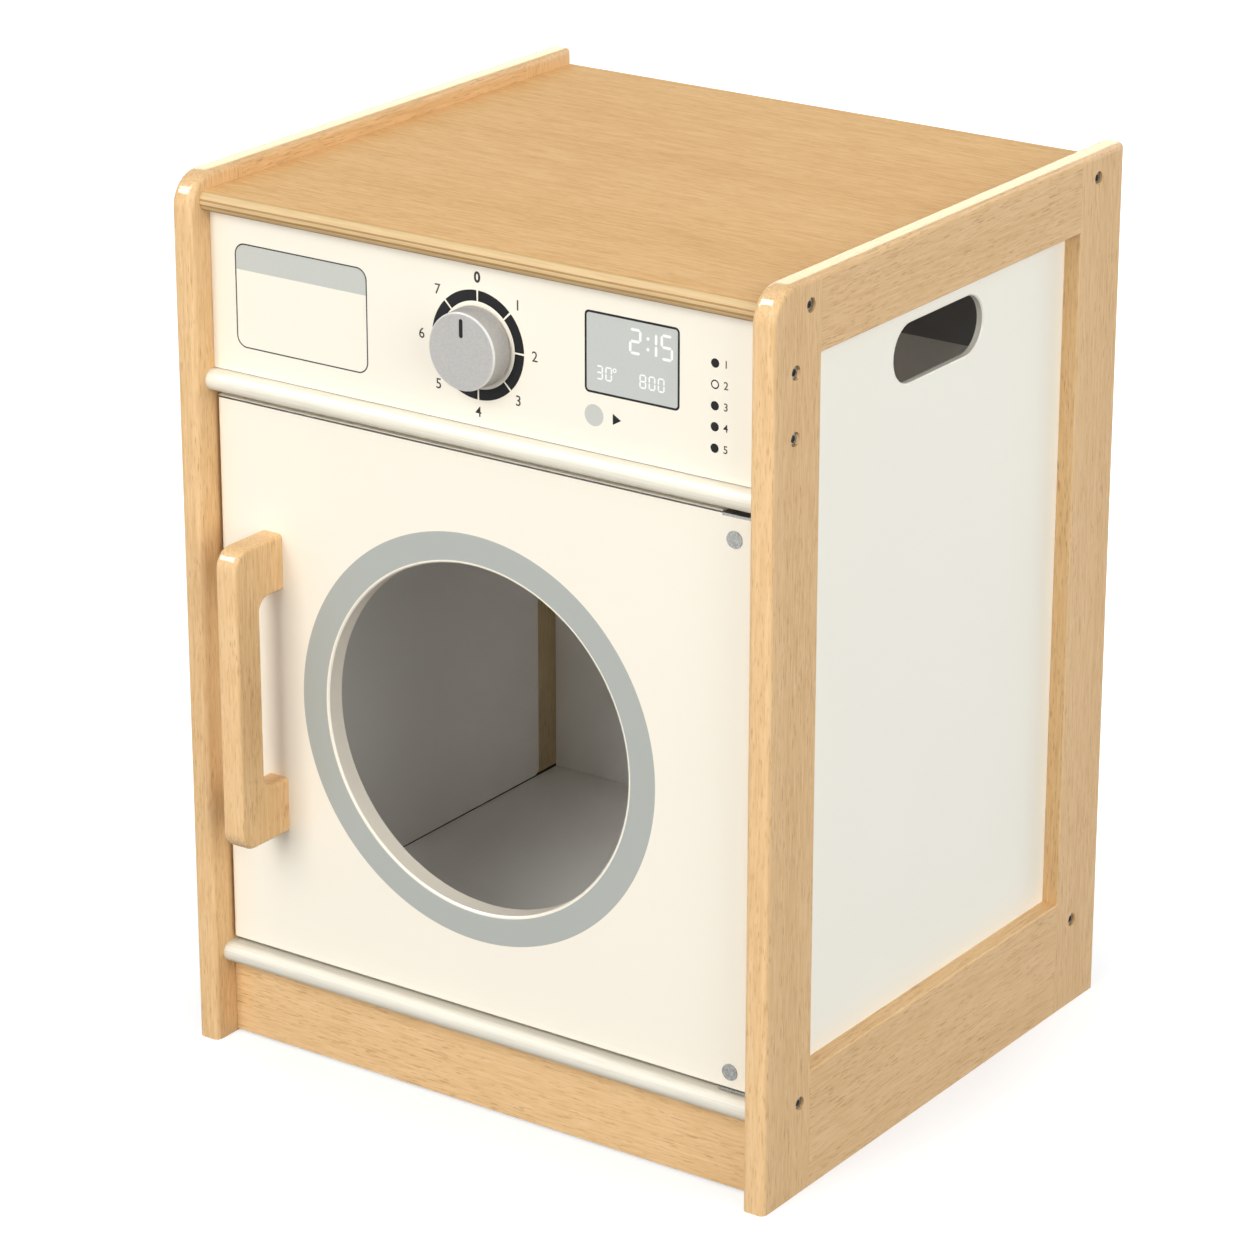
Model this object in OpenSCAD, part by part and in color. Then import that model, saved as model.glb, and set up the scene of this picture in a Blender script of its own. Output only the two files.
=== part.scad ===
// Wooden role-play washing machine: two framed sides, bolted boards, a pivot-hung door and a clicking dial.
// Millimetres. X runs across the front to the right, Y runs from front to back and Z runs up.

/* [Cabinet] */
// Width over both side frames
cabinet_w = 410; // [360:5:480]
// Depth of a side frame
cabinet_d = 370; // [330:5:430]
// Height of a side frame
cabinet_h = 540; // [510:5:600]

/* [Side frames] */
// Thickness of the frame timber
frame_t = 15; // [14:0.5:18]
// Width of each upright
stile_w = 47; // [45:1:56]
// Height of the top rail
top_rail_h = 44; // [42:1:52]
// Height of the bottom rail
bottom_rail_h = 73; // [70:1:84]
// Radius on the long edges of the frame
edge_r = 4; // [2:0.5:5]
// Radius of the top front corner
front_corner_r = 20; // [12:1:26]
// Rounding of the square back corner and the back edge
back_edge_r = 1.5; // [1:0.5:3]
// Chamfer round the outside of the frame opening
opening_chamfer = 0.75; // [0.5:0.25:1.5]
// Diameter of the frame dowels
frame_dowel_d = 6; // [5:0.5:6]
// Length of a frame dowel
frame_dowel_l = 30; // [24:1:34]
// Height of the first dowel above the lower edge of the top rail
rail_dowel_rise = 9; // [9:0.5:10]
// Spacing of the two dowels in the top rail
rail_dowel_step = 9; // [8:0.5:9]
// Height of the first dowel in the bottom rail
foot_dowel_z = 18; // [14:1:22]
// Spacing of the two dowels in the bottom rail
foot_dowel_step = 25; // [18:1:27]

/* [Side panels] */
// Thickness of a side panel
panel_t = 4.5; // [3:0.5:5]
// Overlap of the panel behind the uprights and the top rail
panel_lap = 8.5; // [5.5:0.5:8.5]
// Overlap of the panel behind the bottom rail
panel_foot_lap = 11; // [6:0.5:11.5]
// Radius of the panel corners in the rebate
rebate_corner_r = 5; // [3:0.5:5]
// Length of the hand hole
hand_hole_l = 95; // [80:1:110]
// Height of the hand hole
hand_hole_h = 35; // [28:1:40]
// Drop from the top rail to the hand hole
hand_hole_drop = 12.5; // [8:0.5:20]
// Chamfer round the hand hole
hand_hole_chamfer = 0.8; // [0.4:0.1:1.5]

/* [Boards] */
// Drop from the frame top to the top board
top_drop = 10; // [8:0.5:14]
// Thickness of the top board
top_t = 12; // [12:0.5:15]
// Setback of the bullnosed edges behind the uprights
nose_setback = 7.5; // [4:0.5:10]
// Setback of the fascia and door faces behind the uprights
face_setback = 16; // [15:0.5:18]
// Thickness of the fascia
fascia_t = 12; // [12:0.5:15]
// Height of the fascia between the top board and the fascia shelf
fascia_h = 94.5; // [90:0.5:104]
// Thickness of the fascia shelf
fascia_shelf_t = 12.5; // [12:0.5:15]
// Depth of the fascia shelf from its nose
fascia_shelf_d = 41; // [38:1:46]
// Height of the compartment floor
floor_z = 61.5; // [56:0.5:66]
// Thickness of the lower shelf
lower_shelf_t = 12; // [12:0.5:15]
// Setback of the lower shelf from the back of the frames
shelf_back_setback = 4; // [2:0.5:7]
// Setback of the plinth behind the uprights
plinth_setback = 18; // [17:0.5:19]
// Thickness of the plinth
plinth_t = 12; // [10:0.5:12]
// Gap under the plinth
plinth_lift = 1.5; // [1:0.5:5]
// Thickness of the back panel
back_t = 4.5; // [3:0.5:5]
// Distance of the back panel from the back of the frames
back_inset = 14.5; // [13:0.5:16]
// Depth of the grooves that hold the back panel
groove_depth = 4; // [3:0.5:5]
// Diameter of the board dowels
board_dowel_d = 6; // [5:0.5:6]
// Length of a board dowel
board_dowel_l = 22; // [18:1:26]
// Depth of a board dowel in the shelf it joins
board_dowel_sink = 7; // [5:0.5:8]
// Spacing of the board dowels
board_dowel_pitch = 120; // [90:5:130]

/* [Frame bolts] */
// Thread diameter of a frame bolt
bolt_d = 5; // [5:0.5:6]
// Diameter of the bolt head
bolt_head_d = 7.5; // [7.5:0.5:9]
// Thickness of the bolt head
bolt_head_t = 4; // [3:0.5:4.5]
// Depth of the bolt head below the frame face
bolt_sink = 1.5; // [1:0.5:3]
// Width across the flats of the hexagon socket
socket_af = 4; // [3:0.5:5]
// Depth of the hexagon socket
socket_depth = 2.5; // [2:0.25:2.75]
// Length of a frame bolt beyond its barrel nut
bolt_tip = 2; // [1:0.5:4]
// Distance of the front bolts behind the front of the uprights
front_bolt_inset = 36; // [35:0.5:38]
// Distance of the back bolts from the back of the frames
back_bolt_inset = 28.5; // [27:0.5:30]
// Height of the board bolts above the middle of their board
board_bolt_rise = 1; // [0:0.25:1]
// Height of the lower fascia bolt above the fascia shelf
fascia_bolt_rise = 30.5; // [26:0.5:34]
// Spacing of the two fascia bolts
fascia_bolt_step = 37; // [30:0.5:40]
// Diameter of a barrel nut
barrel_d = 10; // [9:0.5:10]
// Length of a barrel nut
barrel_l = 7; // [6:0.5:8]
// Distance of the barrel nuts from the board ends
barrel_inset = 25; // [22:1:30]

/* [Door] */
// Thickness of the door
door_t = 12; // [11:0.5:13]
// Gap between the door and each upright
door_side_gap = 2; // [1.5:0.25:3]
// Gap between the door and the fascia shelf
door_top_gap = 3.5; // [3.25:0.25:5]
// Radius of the rounded hinge edge
hinge_edge_r = 10; // [9:0.5:10.5]
// Rounding of the other door edges
door_edge_r = 1.5; // [0.5:0.25:2.5]
// Radius of the window opening
window_r = 106; // [90:1:112]
// Height of the window centre above the compartment floor
window_rise = 172.5; // [165:0.5:180]
// Sideways offset of the window centre from the middle, towards the handle
window_shift = 5; // [0:0.5:6]
// Chamfer at the edge of the window opening
window_chamfer = 0.8; // [0.4:0.1:1.5]

/* [Handle] */
// Height of the handle
handle_h = 187; // [160:1:200]
// Thickness of the handle across the door
handle_w = 15; // [14:0.5:18]
// Reach of the handle in front of the door
handle_reach = 43; // [40:0.5:50]
// Depth of the grip bar
grip_d = 22; // [18:0.5:25]
// Height of each foot
handle_foot_h = 34.5; // [28:0.5:40]
// Radius of the outer corners
handle_corner_r = 12; // [8:0.5:14]
// Radius of the inner corners
handle_fillet_r = 8; // [5:0.5:10]
// Rounding of the handle edges
handle_edge_r = 2.5; // [2:0.5:4]
// Distance from the free edge of the door to the handle
handle_inset = 30; // [24:0.5:36]
// Height of the handle centre above the compartment floor
handle_rise = 176; // [165:1:185]
// Diameter of a handle screw
handle_screw_d = 4; // [3.5:0.25:5]
// Length of a handle screw
handle_screw_l = 35; // [30:1:40]

/* [Hinges] */
// Thickness of a hinge plate
hinge_plate_t = 1.6; // [1.2:0.1:2]
// Depth of the recess in the top edge of the door for its hinge plate
hinge_let_in = 2.6; // [1.6:0.2:3]
// Length of a hinge plate along the door edge
hinge_plate_l = 25; // [22:0.5:30]
// Length of the hinge leg behind the door
hinge_leg_l = 26; // [22:0.5:32]
// Width of the hinge leg
hinge_leg_w = 18; // [15:0.5:19]
// Diameter of a hinge pin
hinge_pin_d = 5; // [4:0.5:5]
// Length of the pin beyond the hinge plate
hinge_pin_l = 8; // [6:0.5:8]
// Outside diameter of a hinge bush
bush_d = 8; // [7:0.5:8]
// Diameter of the bush flange
bush_flange_d = 12; // [11:0.5:13]
// Thickness of the bush flange
bush_flange_t = 0.6; // [0.4:0.1:0.8]
// Length of a bush below its flange
bush_l = 8.5; // [8.5:0.25:9.5]
// Free play between a hinge plate and its bush
hinge_play = 0.3; // [0.2:0.05:0.4]
// Diameter of the flat hinge bolt head
hinge_head_d = 10; // [9:0.5:11]
// Thickness of the flat hinge bolt head
hinge_head_t = 2; // [1.5:0.25:2.5]
// Height of the hinge bolt head above the door face
hinge_head_proud = 0.5; // [0.3:0.05:0.5]
// Diameter of a hinge bolt
hinge_bolt_d = 5; // [4:0.5:5]
// Distance of the hinge bolt from the pivot towards the handle
hinge_bolt_offset = 7; // [6:0.5:8]
// Distance of the upper hinge bolt from the top edge of the door
upper_bolt_inset = 15.2; // [12:0.2:18]
// Distance of the lower hinge bolt from the bottom edge of the door
lower_bolt_inset = 10.6; // [8:0.2:15]
// Width across the flats of a hinge nut
hinge_nut_af = 8; // [7:0.5:9]
// Thickness of a hinge nut
hinge_nut_t = 4; // [3:0.5:5]

/* [Catch] */
// Width of the magnetic catch
catch_w = 30; // [26:1:36]
// Depth of the magnetic catch
catch_d = 11; // [10:0.5:13]
// Height of the magnetic catch
catch_h = 10; // [9:0.5:11]
// Distance from the free edge of the door to the catch
catch_inset = 14; // [10:1:20]
// Width of the magnet bar
magnet_w = 18; // [14:1:18]
// Wall of the catch body above and below the magnet
catch_wall = 1.5; // [1:0.25:2]
// Wall of the catch body behind the magnet
catch_back = 2; // [1.5:0.25:3]
// Thickness of the strike plate
strike_t = 1.5; // [1:0.25:2]
// Height of the strike plate
strike_h = 10; // [9:0.5:12]
// Gap between the strike plate and the catch
catch_gap = 0.4; // [0.2:0.1:0.6]
// Diameter of the small screws
small_screw_d = 3; // [2.5:0.25:3.5]
// Length of a small screw
small_screw_l = 9; // [8:0.5:10]
// Length of the cross recess in a small screw
recess_l = 3; // [2.4:0.1:3.2]
// Width of the cross recess
recess_w = 0.7; // [0.5:0.05:0.9]
// Depth of the cross recess
recess_depth = 0.8; // [0.4:0.1:0.9]
// Depth of the strike screw head below its plate
strike_screw_sink = 0.2; // [0.1:0.05:0.4]

/* [Dial] */
// Height of the dial centre above the fascia shelf
dial_rise = 47.5; // [42:0.5:52]
// Radius of the knob face
knob_face_r = 22.5; // [20:0.5:22.5]
// Radius of the knob base
knob_base_r = 23; // [23:0.5:25]
// Rounding of the knob face edge
knob_edge_r = 1; // [1:0.25:3]
// Distance from the knob face to the fascia
knob_reach = 15.5; // [14:0.5:20]
// Length of the pointer slot in the knob face
pointer_l = 11; // [8:0.5:14]
// Width of the pointer slot
pointer_w = 2.6; // [2:0.2:4]
// Depth of the pointer slot
pointer_depth = 0.5; // [0.3:0.1:1]
// Distance of the pointer slot from the knob centre to its outer end
pointer_end_r = 19; // [14:0.5:19]
// Diameter of the spindle
spindle_d = 8; // [6:0.5:8]
// Depth of the spindle in the knob
spindle_sink = 9; // [7:0.5:11]
// Outside diameter of the spindle bush
dial_bush_d = 12; // [11:0.5:13]
// Diameter of the spindle bush flange
dial_flange_d = 20; // [18:0.5:24]
// Thickness of the spindle bush flange
dial_flange_t = 1.5; // [1:0.25:2]
// Axial play of the dial
dial_play = 0.3; // [0.2:0.05:0.4]
// Number of clicks in one turn
click_count = 8; // [4:4:12]
// Radius of the click wheel
click_wheel_r = 18; // [16:0.5:19]
// Thickness of the click wheel
click_wheel_t = 5; // [4:0.5:6]
// Radius of a click notch
click_notch_r = 3; // [2.5:0.25:3.5]
// Depth of a click notch
click_notch_depth = 1.5; // [1:0.25:1.75]
// Thickness of the click spring
spring_t = 0.8; // [0.6:0.1:1]
// Clearance between the spring nose and its notch
spring_gap = 0.4; // [0.3:0.05:0.5]
// Length of the spring from its nose to its foot
spring_l = 24; // [22:0.5:28]
// Length of the spring beyond its nose
spring_lead = 2; // [1.5:0.5:4]
// Size of the spring foot
spring_foot = 12; // [11:0.5:14]
// Thread diameter behind the click wheel
spindle_thread_d = 6; // [5:0.5:6]
// Diameter of the spindle washer
washer_d = 14; // [12:0.5:16]
// Thickness of the spindle washer
washer_t = 1; // [0.8:0.1:1.5]
// Width across the flats of the spindle nut
spindle_nut_af = 10; // [9:0.5:11]
// Thickness of the spindle nut
spindle_nut_t = 5; // [4:0.5:6]
// Length of the spindle thread beyond its nut
thread_tip = 2; // [1:0.5:4]

/* [Fits] */
// Radial clearance of screws, bolts, dowels and nuts in their holes
fit_gap = 0.1; // [0.05:0.01:0.15]
// Radial running clearance of the pins and the spindle
run_gap = 0.05; // [0.03:0.01:0.08]
// Clearance round the panels in their grooves and rebates
panel_gap = 0.25; // [0.15:0.05:0.3]

/* [Hidden] */
$fn = 48;
eps = 0.01;
wood = [0.90, 0.74, 0.53];
white = [0.98, 0.96, 0.90];
knob_grey = [0.75, 0.74, 0.72];
steel = [0.66, 0.67, 0.68];
nylon = [0.93, 0.93, 0.90];

// Cabinet planes, with Y = 0 at the front of the uprights
inner_x = cabinet_w / 2 - frame_t;
frame_mid_x = cabinet_w / 2 - frame_t / 2;
opening_l = cabinet_d - 2 * stile_w;
opening_h = cabinet_h - top_rail_h - bottom_rail_h;
rail_z = cabinet_h - top_rail_h;
top_z = cabinet_h - top_drop;
top_under_z = top_z - top_t;
fascia_z = top_under_z - fascia_h;
strip_z = fascia_z - fascia_shelf_t;
shelf_under_z = floor_z - lower_shelf_t;
fascia_mid_y = face_setback + fascia_t / 2;
fascia_back_y = face_setback + fascia_t;
plinth_mid_y = plinth_setback + plinth_t / 2;
back_y = cabinet_d - back_inset - back_t;
board_back_y = cabinet_d - shelf_back_setback;

// Handle reach sets the deepest point of the front, so it also sets the origin
handle_front_y = face_setback - handle_reach;
origin_y = -(cabinet_d + handle_front_y) / 2;

// Bolts
head_seat_x = cabinet_w / 2 - bolt_sink - bolt_head_t;
barrel_x = inner_x - barrel_inset;
bolt_l = head_seat_x - barrel_x + barrel_d / 2 + bolt_tip;
front_bolt_y = front_bolt_inset;
back_bolt_y = cabinet_d - back_bolt_inset;
top_bolt_z = top_z - top_t / 2 + board_bolt_rise;
shelf_bolt_z = floor_z - lower_shelf_t / 2 + board_bolt_rise;
fascia_bolt_z = fascia_z + fascia_bolt_rise;
board_bolt_spots = [
    [front_bolt_y, top_bolt_z], [back_bolt_y, top_bolt_z],
    [front_bolt_y, shelf_bolt_z], [back_bolt_y, shelf_bolt_z]
];
fascia_bolt_spots = [
    [fascia_mid_y, fascia_bolt_z], [fascia_mid_y, fascia_bolt_z + fascia_bolt_step]
];
bolt_spots = concat(board_bolt_spots, fascia_bolt_spots);

// Frame dowels stand in the timber outside the panel rebate
dowel_x = (inner_x + panel_t + cabinet_w / 2) / 2;
dowel_heights = [
    rail_z + rail_dowel_rise, rail_z + rail_dowel_rise + rail_dowel_step,
    foot_dowel_z, foot_dowel_z + foot_dowel_step
];

// Door and hinges
door_edge_x = inner_x - door_side_gap;
door_back_y = face_setback + door_t;
door_z0 = floor_z + bush_flange_t + hinge_play + hinge_plate_t;
door_z1 = strip_z - door_top_gap;
let_in_z = door_z1 - hinge_let_in;
plate_end_x = door_edge_x - hinge_plate_l;
pivot_x = door_edge_x - hinge_edge_r;
pivot_y = face_setback + hinge_edge_r;
window_x = -window_shift;
window_z = floor_z + window_rise;
hinge_bolt_x = pivot_x - hinge_bolt_offset;
hinge_bolt_l = door_t + hinge_head_proud - hinge_head_t + hinge_plate_t + hinge_nut_t;

// Handle
handle_x = -door_edge_x + handle_inset + handle_w / 2;
handle_z0 = floor_z + handle_rise - handle_h / 2;
handle_z1 = handle_z0 + handle_h;
grip_back_y = handle_front_y + grip_d;
handle_screw_zs = [handle_z0 + handle_foot_h / 2, handle_z1 - handle_foot_h / 2];

// Catch
catch_x = -door_edge_x + catch_inset + catch_w / 2;
catch_front_y = door_back_y + strike_t + catch_gap;
catch_z = strip_z - catch_h;
catch_screw_x = (catch_w + magnet_w) / 4;
strike_z = door_z1 - strike_h - door_edge_r;

// Dial
dial_z = fascia_z + dial_rise;
knob_front_y = face_setback - knob_reach;
knob_back_y = face_setback - dial_flange_t - dial_play;
knob_sink_y = knob_back_y - spindle_sink;
click_wheel_y = fascia_back_y + dial_play + spring_t;
thread_y = click_wheel_y + click_wheel_t;
nose_r = click_notch_r - spring_gap;
notch_centre_r = click_wheel_r - click_notch_depth + click_notch_r;
spring_z = dial_z - notch_centre_r - nose_r / 2;

// Moves the cabinet so that the origin lies under the middle of the whole machine
module stand() {
    translate([0, origin_y, 0]) children();
}

// Draws on the right-hand side, or mirrored on the left
module on_side(side) {
    if (side > 0) children();
    else mirror([1, 0, 0]) children();
}

module on_both_sides() {
    for (side = [-1, 1]) on_side(side) children();
}

// Lays a drawing of Y and Z values out along X
module along_x(length) {
    rotate([90, 0, 90]) linear_extrude(length, center = true) children();
}

// Points a cylinder's axis from the front to the back
module facing_back() {
    rotate([-90, 0, 0]) children();
}

// Rectangle w wide and d deep whose two corners on the front line are rounded
module round_front(w, d, r) {
    translate([-w / 2, r]) square([w, d - r]);
    translate([-w / 2 + r, 0]) square([w - 2 * r, r + eps]);
    for (side = [-1, 1]) translate([side * (w / 2 - r), r]) circle(r);
}

// Board section with a half-round nose
module bullnose(length, t) {
    translate([t / 2, 0]) square([length - t / 2, t]);
    translate([t / 2, t / 2]) circle(t / 2);
}

// Upright whose rounded edges run up, round the top corner and back along the top
module stile_blank(corner_r) {
    linear_extrude(cabinet_h - corner_r) round_front(frame_t, stile_w, edge_r);
    translate([0, corner_r, cabinet_h - corner_r]) rotate([180, 0, 0]) rotate([0, 90, 0])
        rotate_extrude(angle = 90) intersection() {
            translate([corner_r, 0]) rotate(90) round_front(frame_t, corner_r, edge_r);
            translate([0, -frame_t]) square([corner_r, 2 * frame_t]);
        }
    translate([0, stile_w, cabinet_h]) rotate([90, 0, 0]) linear_extrude(stile_w - corner_r)
        mirror([0, 1]) round_front(frame_t, corner_r, edge_r);
}

// Back upright: the eased back edge meets the rounded top at a square corner
module back_blank() {
    intersection() {
        linear_extrude(cabinet_h) round_front(frame_t, stile_w, back_edge_r);
        translate([0, stile_w, cabinet_h]) rotate([90, 0, 0]) linear_extrude(stile_w)
            mirror([0, 1]) round_front(frame_t, cabinet_h, edge_r);
    }
}

// Outline of a side panel in Y and Z, drawn back from its rebate by the gap
module panel_outline(gap) {
    r = rebate_corner_r - gap;
    y0 = stile_w - panel_lap + gap;
    y1 = cabinet_d - y0;
    z0 = bottom_rail_h - panel_foot_lap + gap;
    z1 = rail_z + panel_lap - gap;
    translate([y0 + r, z0]) square([y1 - y0 - 2 * r, z1 - z0]);
    translate([y0, z0 + r]) square([y1 - y0, z1 - z0 - 2 * r]);
    for (y = [y0 + r, y1 - r], z = [z0 + r, z1 - r]) translate([y, z]) circle(r);
}

// Everything that is machined into a side frame, on the right-hand side
module frame_cuts() {
    translate([inner_x - 1, 0, 0]) rotate([90, 0, 90]) linear_extrude(panel_t + 1) panel_outline(0);
    opening_bevel();
    for (spot = bolt_spots) translate([0, spot[0], spot[1]]) rotate([0, 90, 0]) {
        translate([0, 0, inner_x - 1]) cylinder(r = bolt_d / 2 + fit_gap, h = frame_t);
        translate([0, 0, head_seat_x]) cylinder(r = bolt_head_d / 2 + 4 * fit_gap, h = frame_t);
    }
    frame_dowel_set(fit_gap);
    translate([inner_x - 1, back_y - panel_gap, floor_z - groove_depth])
        cube([groove_depth + 1, back_t + 2 * panel_gap, top_under_z - floor_z + 2 * groove_depth]);
}

// Bevelled edge round the outside of the frame opening
module opening_bevel() {
    for (y = [stile_w, cabinet_d - stile_w])
        translate([cabinet_w / 2, y, bottom_rail_h]) linear_extrude(opening_h)
            circle(opening_chamfer, $fn = 4);
    for (z = [bottom_rail_h, rail_z])
        translate([cabinet_w / 2, stile_w, z]) facing_back() linear_extrude(opening_l)
            circle(opening_chamfer, $fn = 4);
}

module frame_dowel_set(gap) {
    for (seam_y = [stile_w, cabinet_d - stile_w], z = dowel_heights)
        translate([dowel_x, seam_y - frame_dowel_l / 2 - gap, z]) facing_back()
            cylinder(d = frame_dowel_d + 2 * gap, h = frame_dowel_l + 2 * gap);
}

module front_stile() {
    difference() {
        translate([frame_mid_x, 0, 0]) stile_blank(front_corner_r);
        frame_cuts();
    }
}

module back_stile() {
    difference() {
        translate([frame_mid_x, cabinet_d, 0]) mirror([0, 1, 0]) back_blank();
        frame_cuts();
    }
}

module top_rail() {
    difference() {
        translate([frame_mid_x, cabinet_d - stile_w, cabinet_h]) rotate([90, 0, 0]) linear_extrude(opening_l)
            mirror([0, 1]) round_front(frame_t, top_rail_h, edge_r);
        frame_cuts();
    }
}

module bottom_rail() {
    difference() {
        translate([inner_x, stile_w, 0]) cube([frame_t, opening_l, bottom_rail_h]);
        frame_cuts();
    }
}

// Hand hole through the panel, with a bevel on its outer edge
module hand_hole() {
    reach = hand_hole_l / 2 - hand_hole_h / 2;
    outer_x = inner_x + panel_t;
    bevel_r = hand_hole_h / 2 + hand_hole_chamfer;
    translate([0, cabinet_d / 2, rail_z - hand_hole_drop - hand_hole_h / 2]) {
        for (end = [-1, 1]) translate([0, end * reach, 0]) rotate([0, 90, 0]) {
            translate([0, 0, inner_x - 1]) cylinder(d = hand_hole_h, h = panel_t + 2);
            translate([0, 0, outer_x - hand_hole_chamfer])
                cylinder(r1 = hand_hole_h / 2, r2 = bevel_r, h = hand_hole_chamfer);
        }
        translate([inner_x - 1, -reach, -hand_hole_h / 2]) cube([panel_t + 2, 2 * reach, hand_hole_h]);
        translate([0, reach, 0]) rotate([90, 0, 0]) linear_extrude(2 * reach) polygon([
            [outer_x - hand_hole_chamfer, -hand_hole_h / 2], [outer_x, -bevel_r],
            [outer_x, bevel_r], [outer_x - hand_hole_chamfer, hand_hole_h / 2]
        ]);
    }
}

module side_panel() {
    difference() {
        translate([inner_x, 0, 0]) rotate([90, 0, 90]) linear_extrude(panel_t) panel_outline(panel_gap);
        hand_hole();
    }
}

module left_front_stile() { color(wood) stand() on_side(-1) front_stile(); }
module left_back_stile() { color(wood) stand() on_side(-1) back_stile(); }
module left_top_rail() { color(wood) stand() on_side(-1) top_rail(); }
module left_bottom_rail() { color(wood) stand() on_side(-1) bottom_rail(); }
module left_side_panel() { color(white) stand() on_side(-1) side_panel(); }
module right_front_stile() { color(wood) stand() on_side(1) front_stile(); }
module right_back_stile() { color(wood) stand() on_side(1) back_stile(); }
module right_top_rail() { color(wood) stand() on_side(1) top_rail(); }
module right_bottom_rail() { color(wood) stand() on_side(1) bottom_rail(); }
module right_side_panel() { color(white) stand() on_side(1) side_panel(); }
module frame_dowels() { color(wood) stand() on_both_sides() frame_dowel_set(0); }

// Bolt hole and barrel nut hole in the end of a board; the nut goes in from below
module board_bolt_holes(spots) {
    for (spot = spots) on_both_sides() translate([0, spot[0], spot[1]]) {
        translate([barrel_x - barrel_d, 0, 0]) rotate([0, 90, 0])
            cylinder(r = bolt_d / 2 + fit_gap, h = barrel_inset + barrel_d + 1);
        translate([barrel_x, 0, -barrel_l / 2 - barrel_d])
            cylinder(r = barrel_d / 2 + fit_gap, h = barrel_l + barrel_d);
    }
}

// Slot across a board for the edge of the back panel
module back_slot(z) {
    translate([-cabinet_w / 2, back_y - panel_gap, z])
        cube([cabinet_w, back_t + 2 * panel_gap, groove_depth + 1]);
}

module top_board() {
    color(wood) stand() difference() {
        translate([0, nose_setback, top_under_z]) along_x(2 * inner_x)
            bullnose(cabinet_d - nose_setback, top_t);
        board_bolt_holes([board_bolt_spots[0], board_bolt_spots[1]]);
        back_slot(top_under_z - 1);
    }
}

module lower_shelf() {
    color(white) stand() difference() {
        translate([0, nose_setback, shelf_under_z]) along_x(2 * inner_x)
            bullnose(board_back_y - nose_setback, lower_shelf_t);
        board_bolt_holes([board_bolt_spots[2], board_bolt_spots[3]]);
        back_slot(floor_z - groove_depth);
        board_dowel_set(plinth_mid_y, shelf_under_z + board_dowel_sink, fit_gap);
        translate([pivot_x, pivot_y, floor_z - bush_l]) cylinder(r = bush_d / 2 + fit_gap, h = bush_l + 1);
    }
}

// Three dowels in a row whose tops stand at z
module board_dowel_set(y, z, gap) {
    for (column = [-1 : 1]) translate([column * board_dowel_pitch, y, z - board_dowel_l - gap])
        cylinder(d = board_dowel_d + 2 * gap, h = board_dowel_l + 2 * gap);
}

module fascia_shelf() {
    color(white) stand() difference() {
        translate([0, nose_setback, strip_z]) along_x(2 * inner_x) bullnose(fascia_shelf_d, fascia_shelf_t);
        board_dowel_set(fascia_mid_y, fascia_z + board_dowel_l - board_dowel_sink, fit_gap);
        translate([pivot_x, pivot_y, strip_z - 1]) cylinder(r = bush_d / 2 + fit_gap, h = bush_l + 1);
        catch_screw_holes();
    }
}

module fascia() {
    color(white) stand() difference() {
        translate([-inner_x, face_setback, fascia_z]) cube([2 * inner_x, fascia_t, fascia_h]);
        board_dowel_set(fascia_mid_y, fascia_z + board_dowel_l - board_dowel_sink, fit_gap);
        for (spot = fascia_bolt_spots) on_both_sides() translate([barrel_x, spot[0], spot[1]]) {
            translate([-barrel_d, 0, 0]) rotate([0, 90, 0])
                cylinder(r = bolt_d / 2 + fit_gap, h = barrel_inset + barrel_d + 1);
            translate([0, -barrel_l / 2, 0]) facing_back()
                cylinder(r = barrel_d / 2 + fit_gap, h = barrel_l + barrel_d);
        }
        translate([0, face_setback - 1, dial_z]) facing_back()
            cylinder(r = dial_bush_d / 2 + fit_gap, h = fascia_t + 2);
        spring_screw_spot() cylinder(r = small_screw_d / 2 + fit_gap, h = small_screw_l + fit_gap);
    }
}

module fascia_dowels() {
    color(wood) stand() board_dowel_set(fascia_mid_y, fascia_z + board_dowel_l - board_dowel_sink, 0);
}

module plinth() {
    color(wood) stand() difference() {
        translate([-inner_x, plinth_setback, plinth_lift])
            cube([2 * inner_x, plinth_t, shelf_under_z - plinth_lift]);
        board_dowel_set(plinth_mid_y, shelf_under_z + board_dowel_sink, fit_gap);
    }
}

module plinth_dowels() {
    color(wood) stand() board_dowel_set(plinth_mid_y, shelf_under_z + board_dowel_sink, 0);
}

module back_panel() {
    edge = groove_depth - panel_gap;
    color(white) stand() translate([-inner_x - edge, back_y, floor_z - edge])
        cube([2 * (inner_x + edge), back_t, top_under_z - floor_z + 2 * edge]);
}

// Socket-head bolt that points towards the middle of the cabinet
module frame_bolt() {
    rotate([0, -90, 0]) cylinder(d = bolt_d, h = bolt_l);
    rotate([0, 90, 0]) difference() {
        cylinder(d = bolt_head_d, h = bolt_head_t);
        translate([0, 0, bolt_head_t - socket_depth])
            cylinder(r = socket_af / sqrt(3), h = socket_depth + 1, $fn = 6);
    }
}

module frame_bolts() {
    color(steel) stand() on_both_sides()
        for (spot = bolt_spots) translate([head_seat_x, spot[0], spot[1]]) frame_bolt();
}

module barrel_nut() {
    difference() {
        cylinder(d = barrel_d, h = barrel_l, center = true);
        rotate([0, 90, 0]) cylinder(r = bolt_d / 2 + fit_gap, h = 2 * barrel_d, center = true);
    }
}

module barrel_nuts() {
    color(steel) stand() on_both_sides() {
        for (spot = board_bolt_spots) translate([barrel_x, spot[0], spot[1]]) barrel_nut();
        for (spot = fascia_bolt_spots) translate([barrel_x, spot[0], spot[1]]) facing_back() barrel_nut();
    }
}

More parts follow.
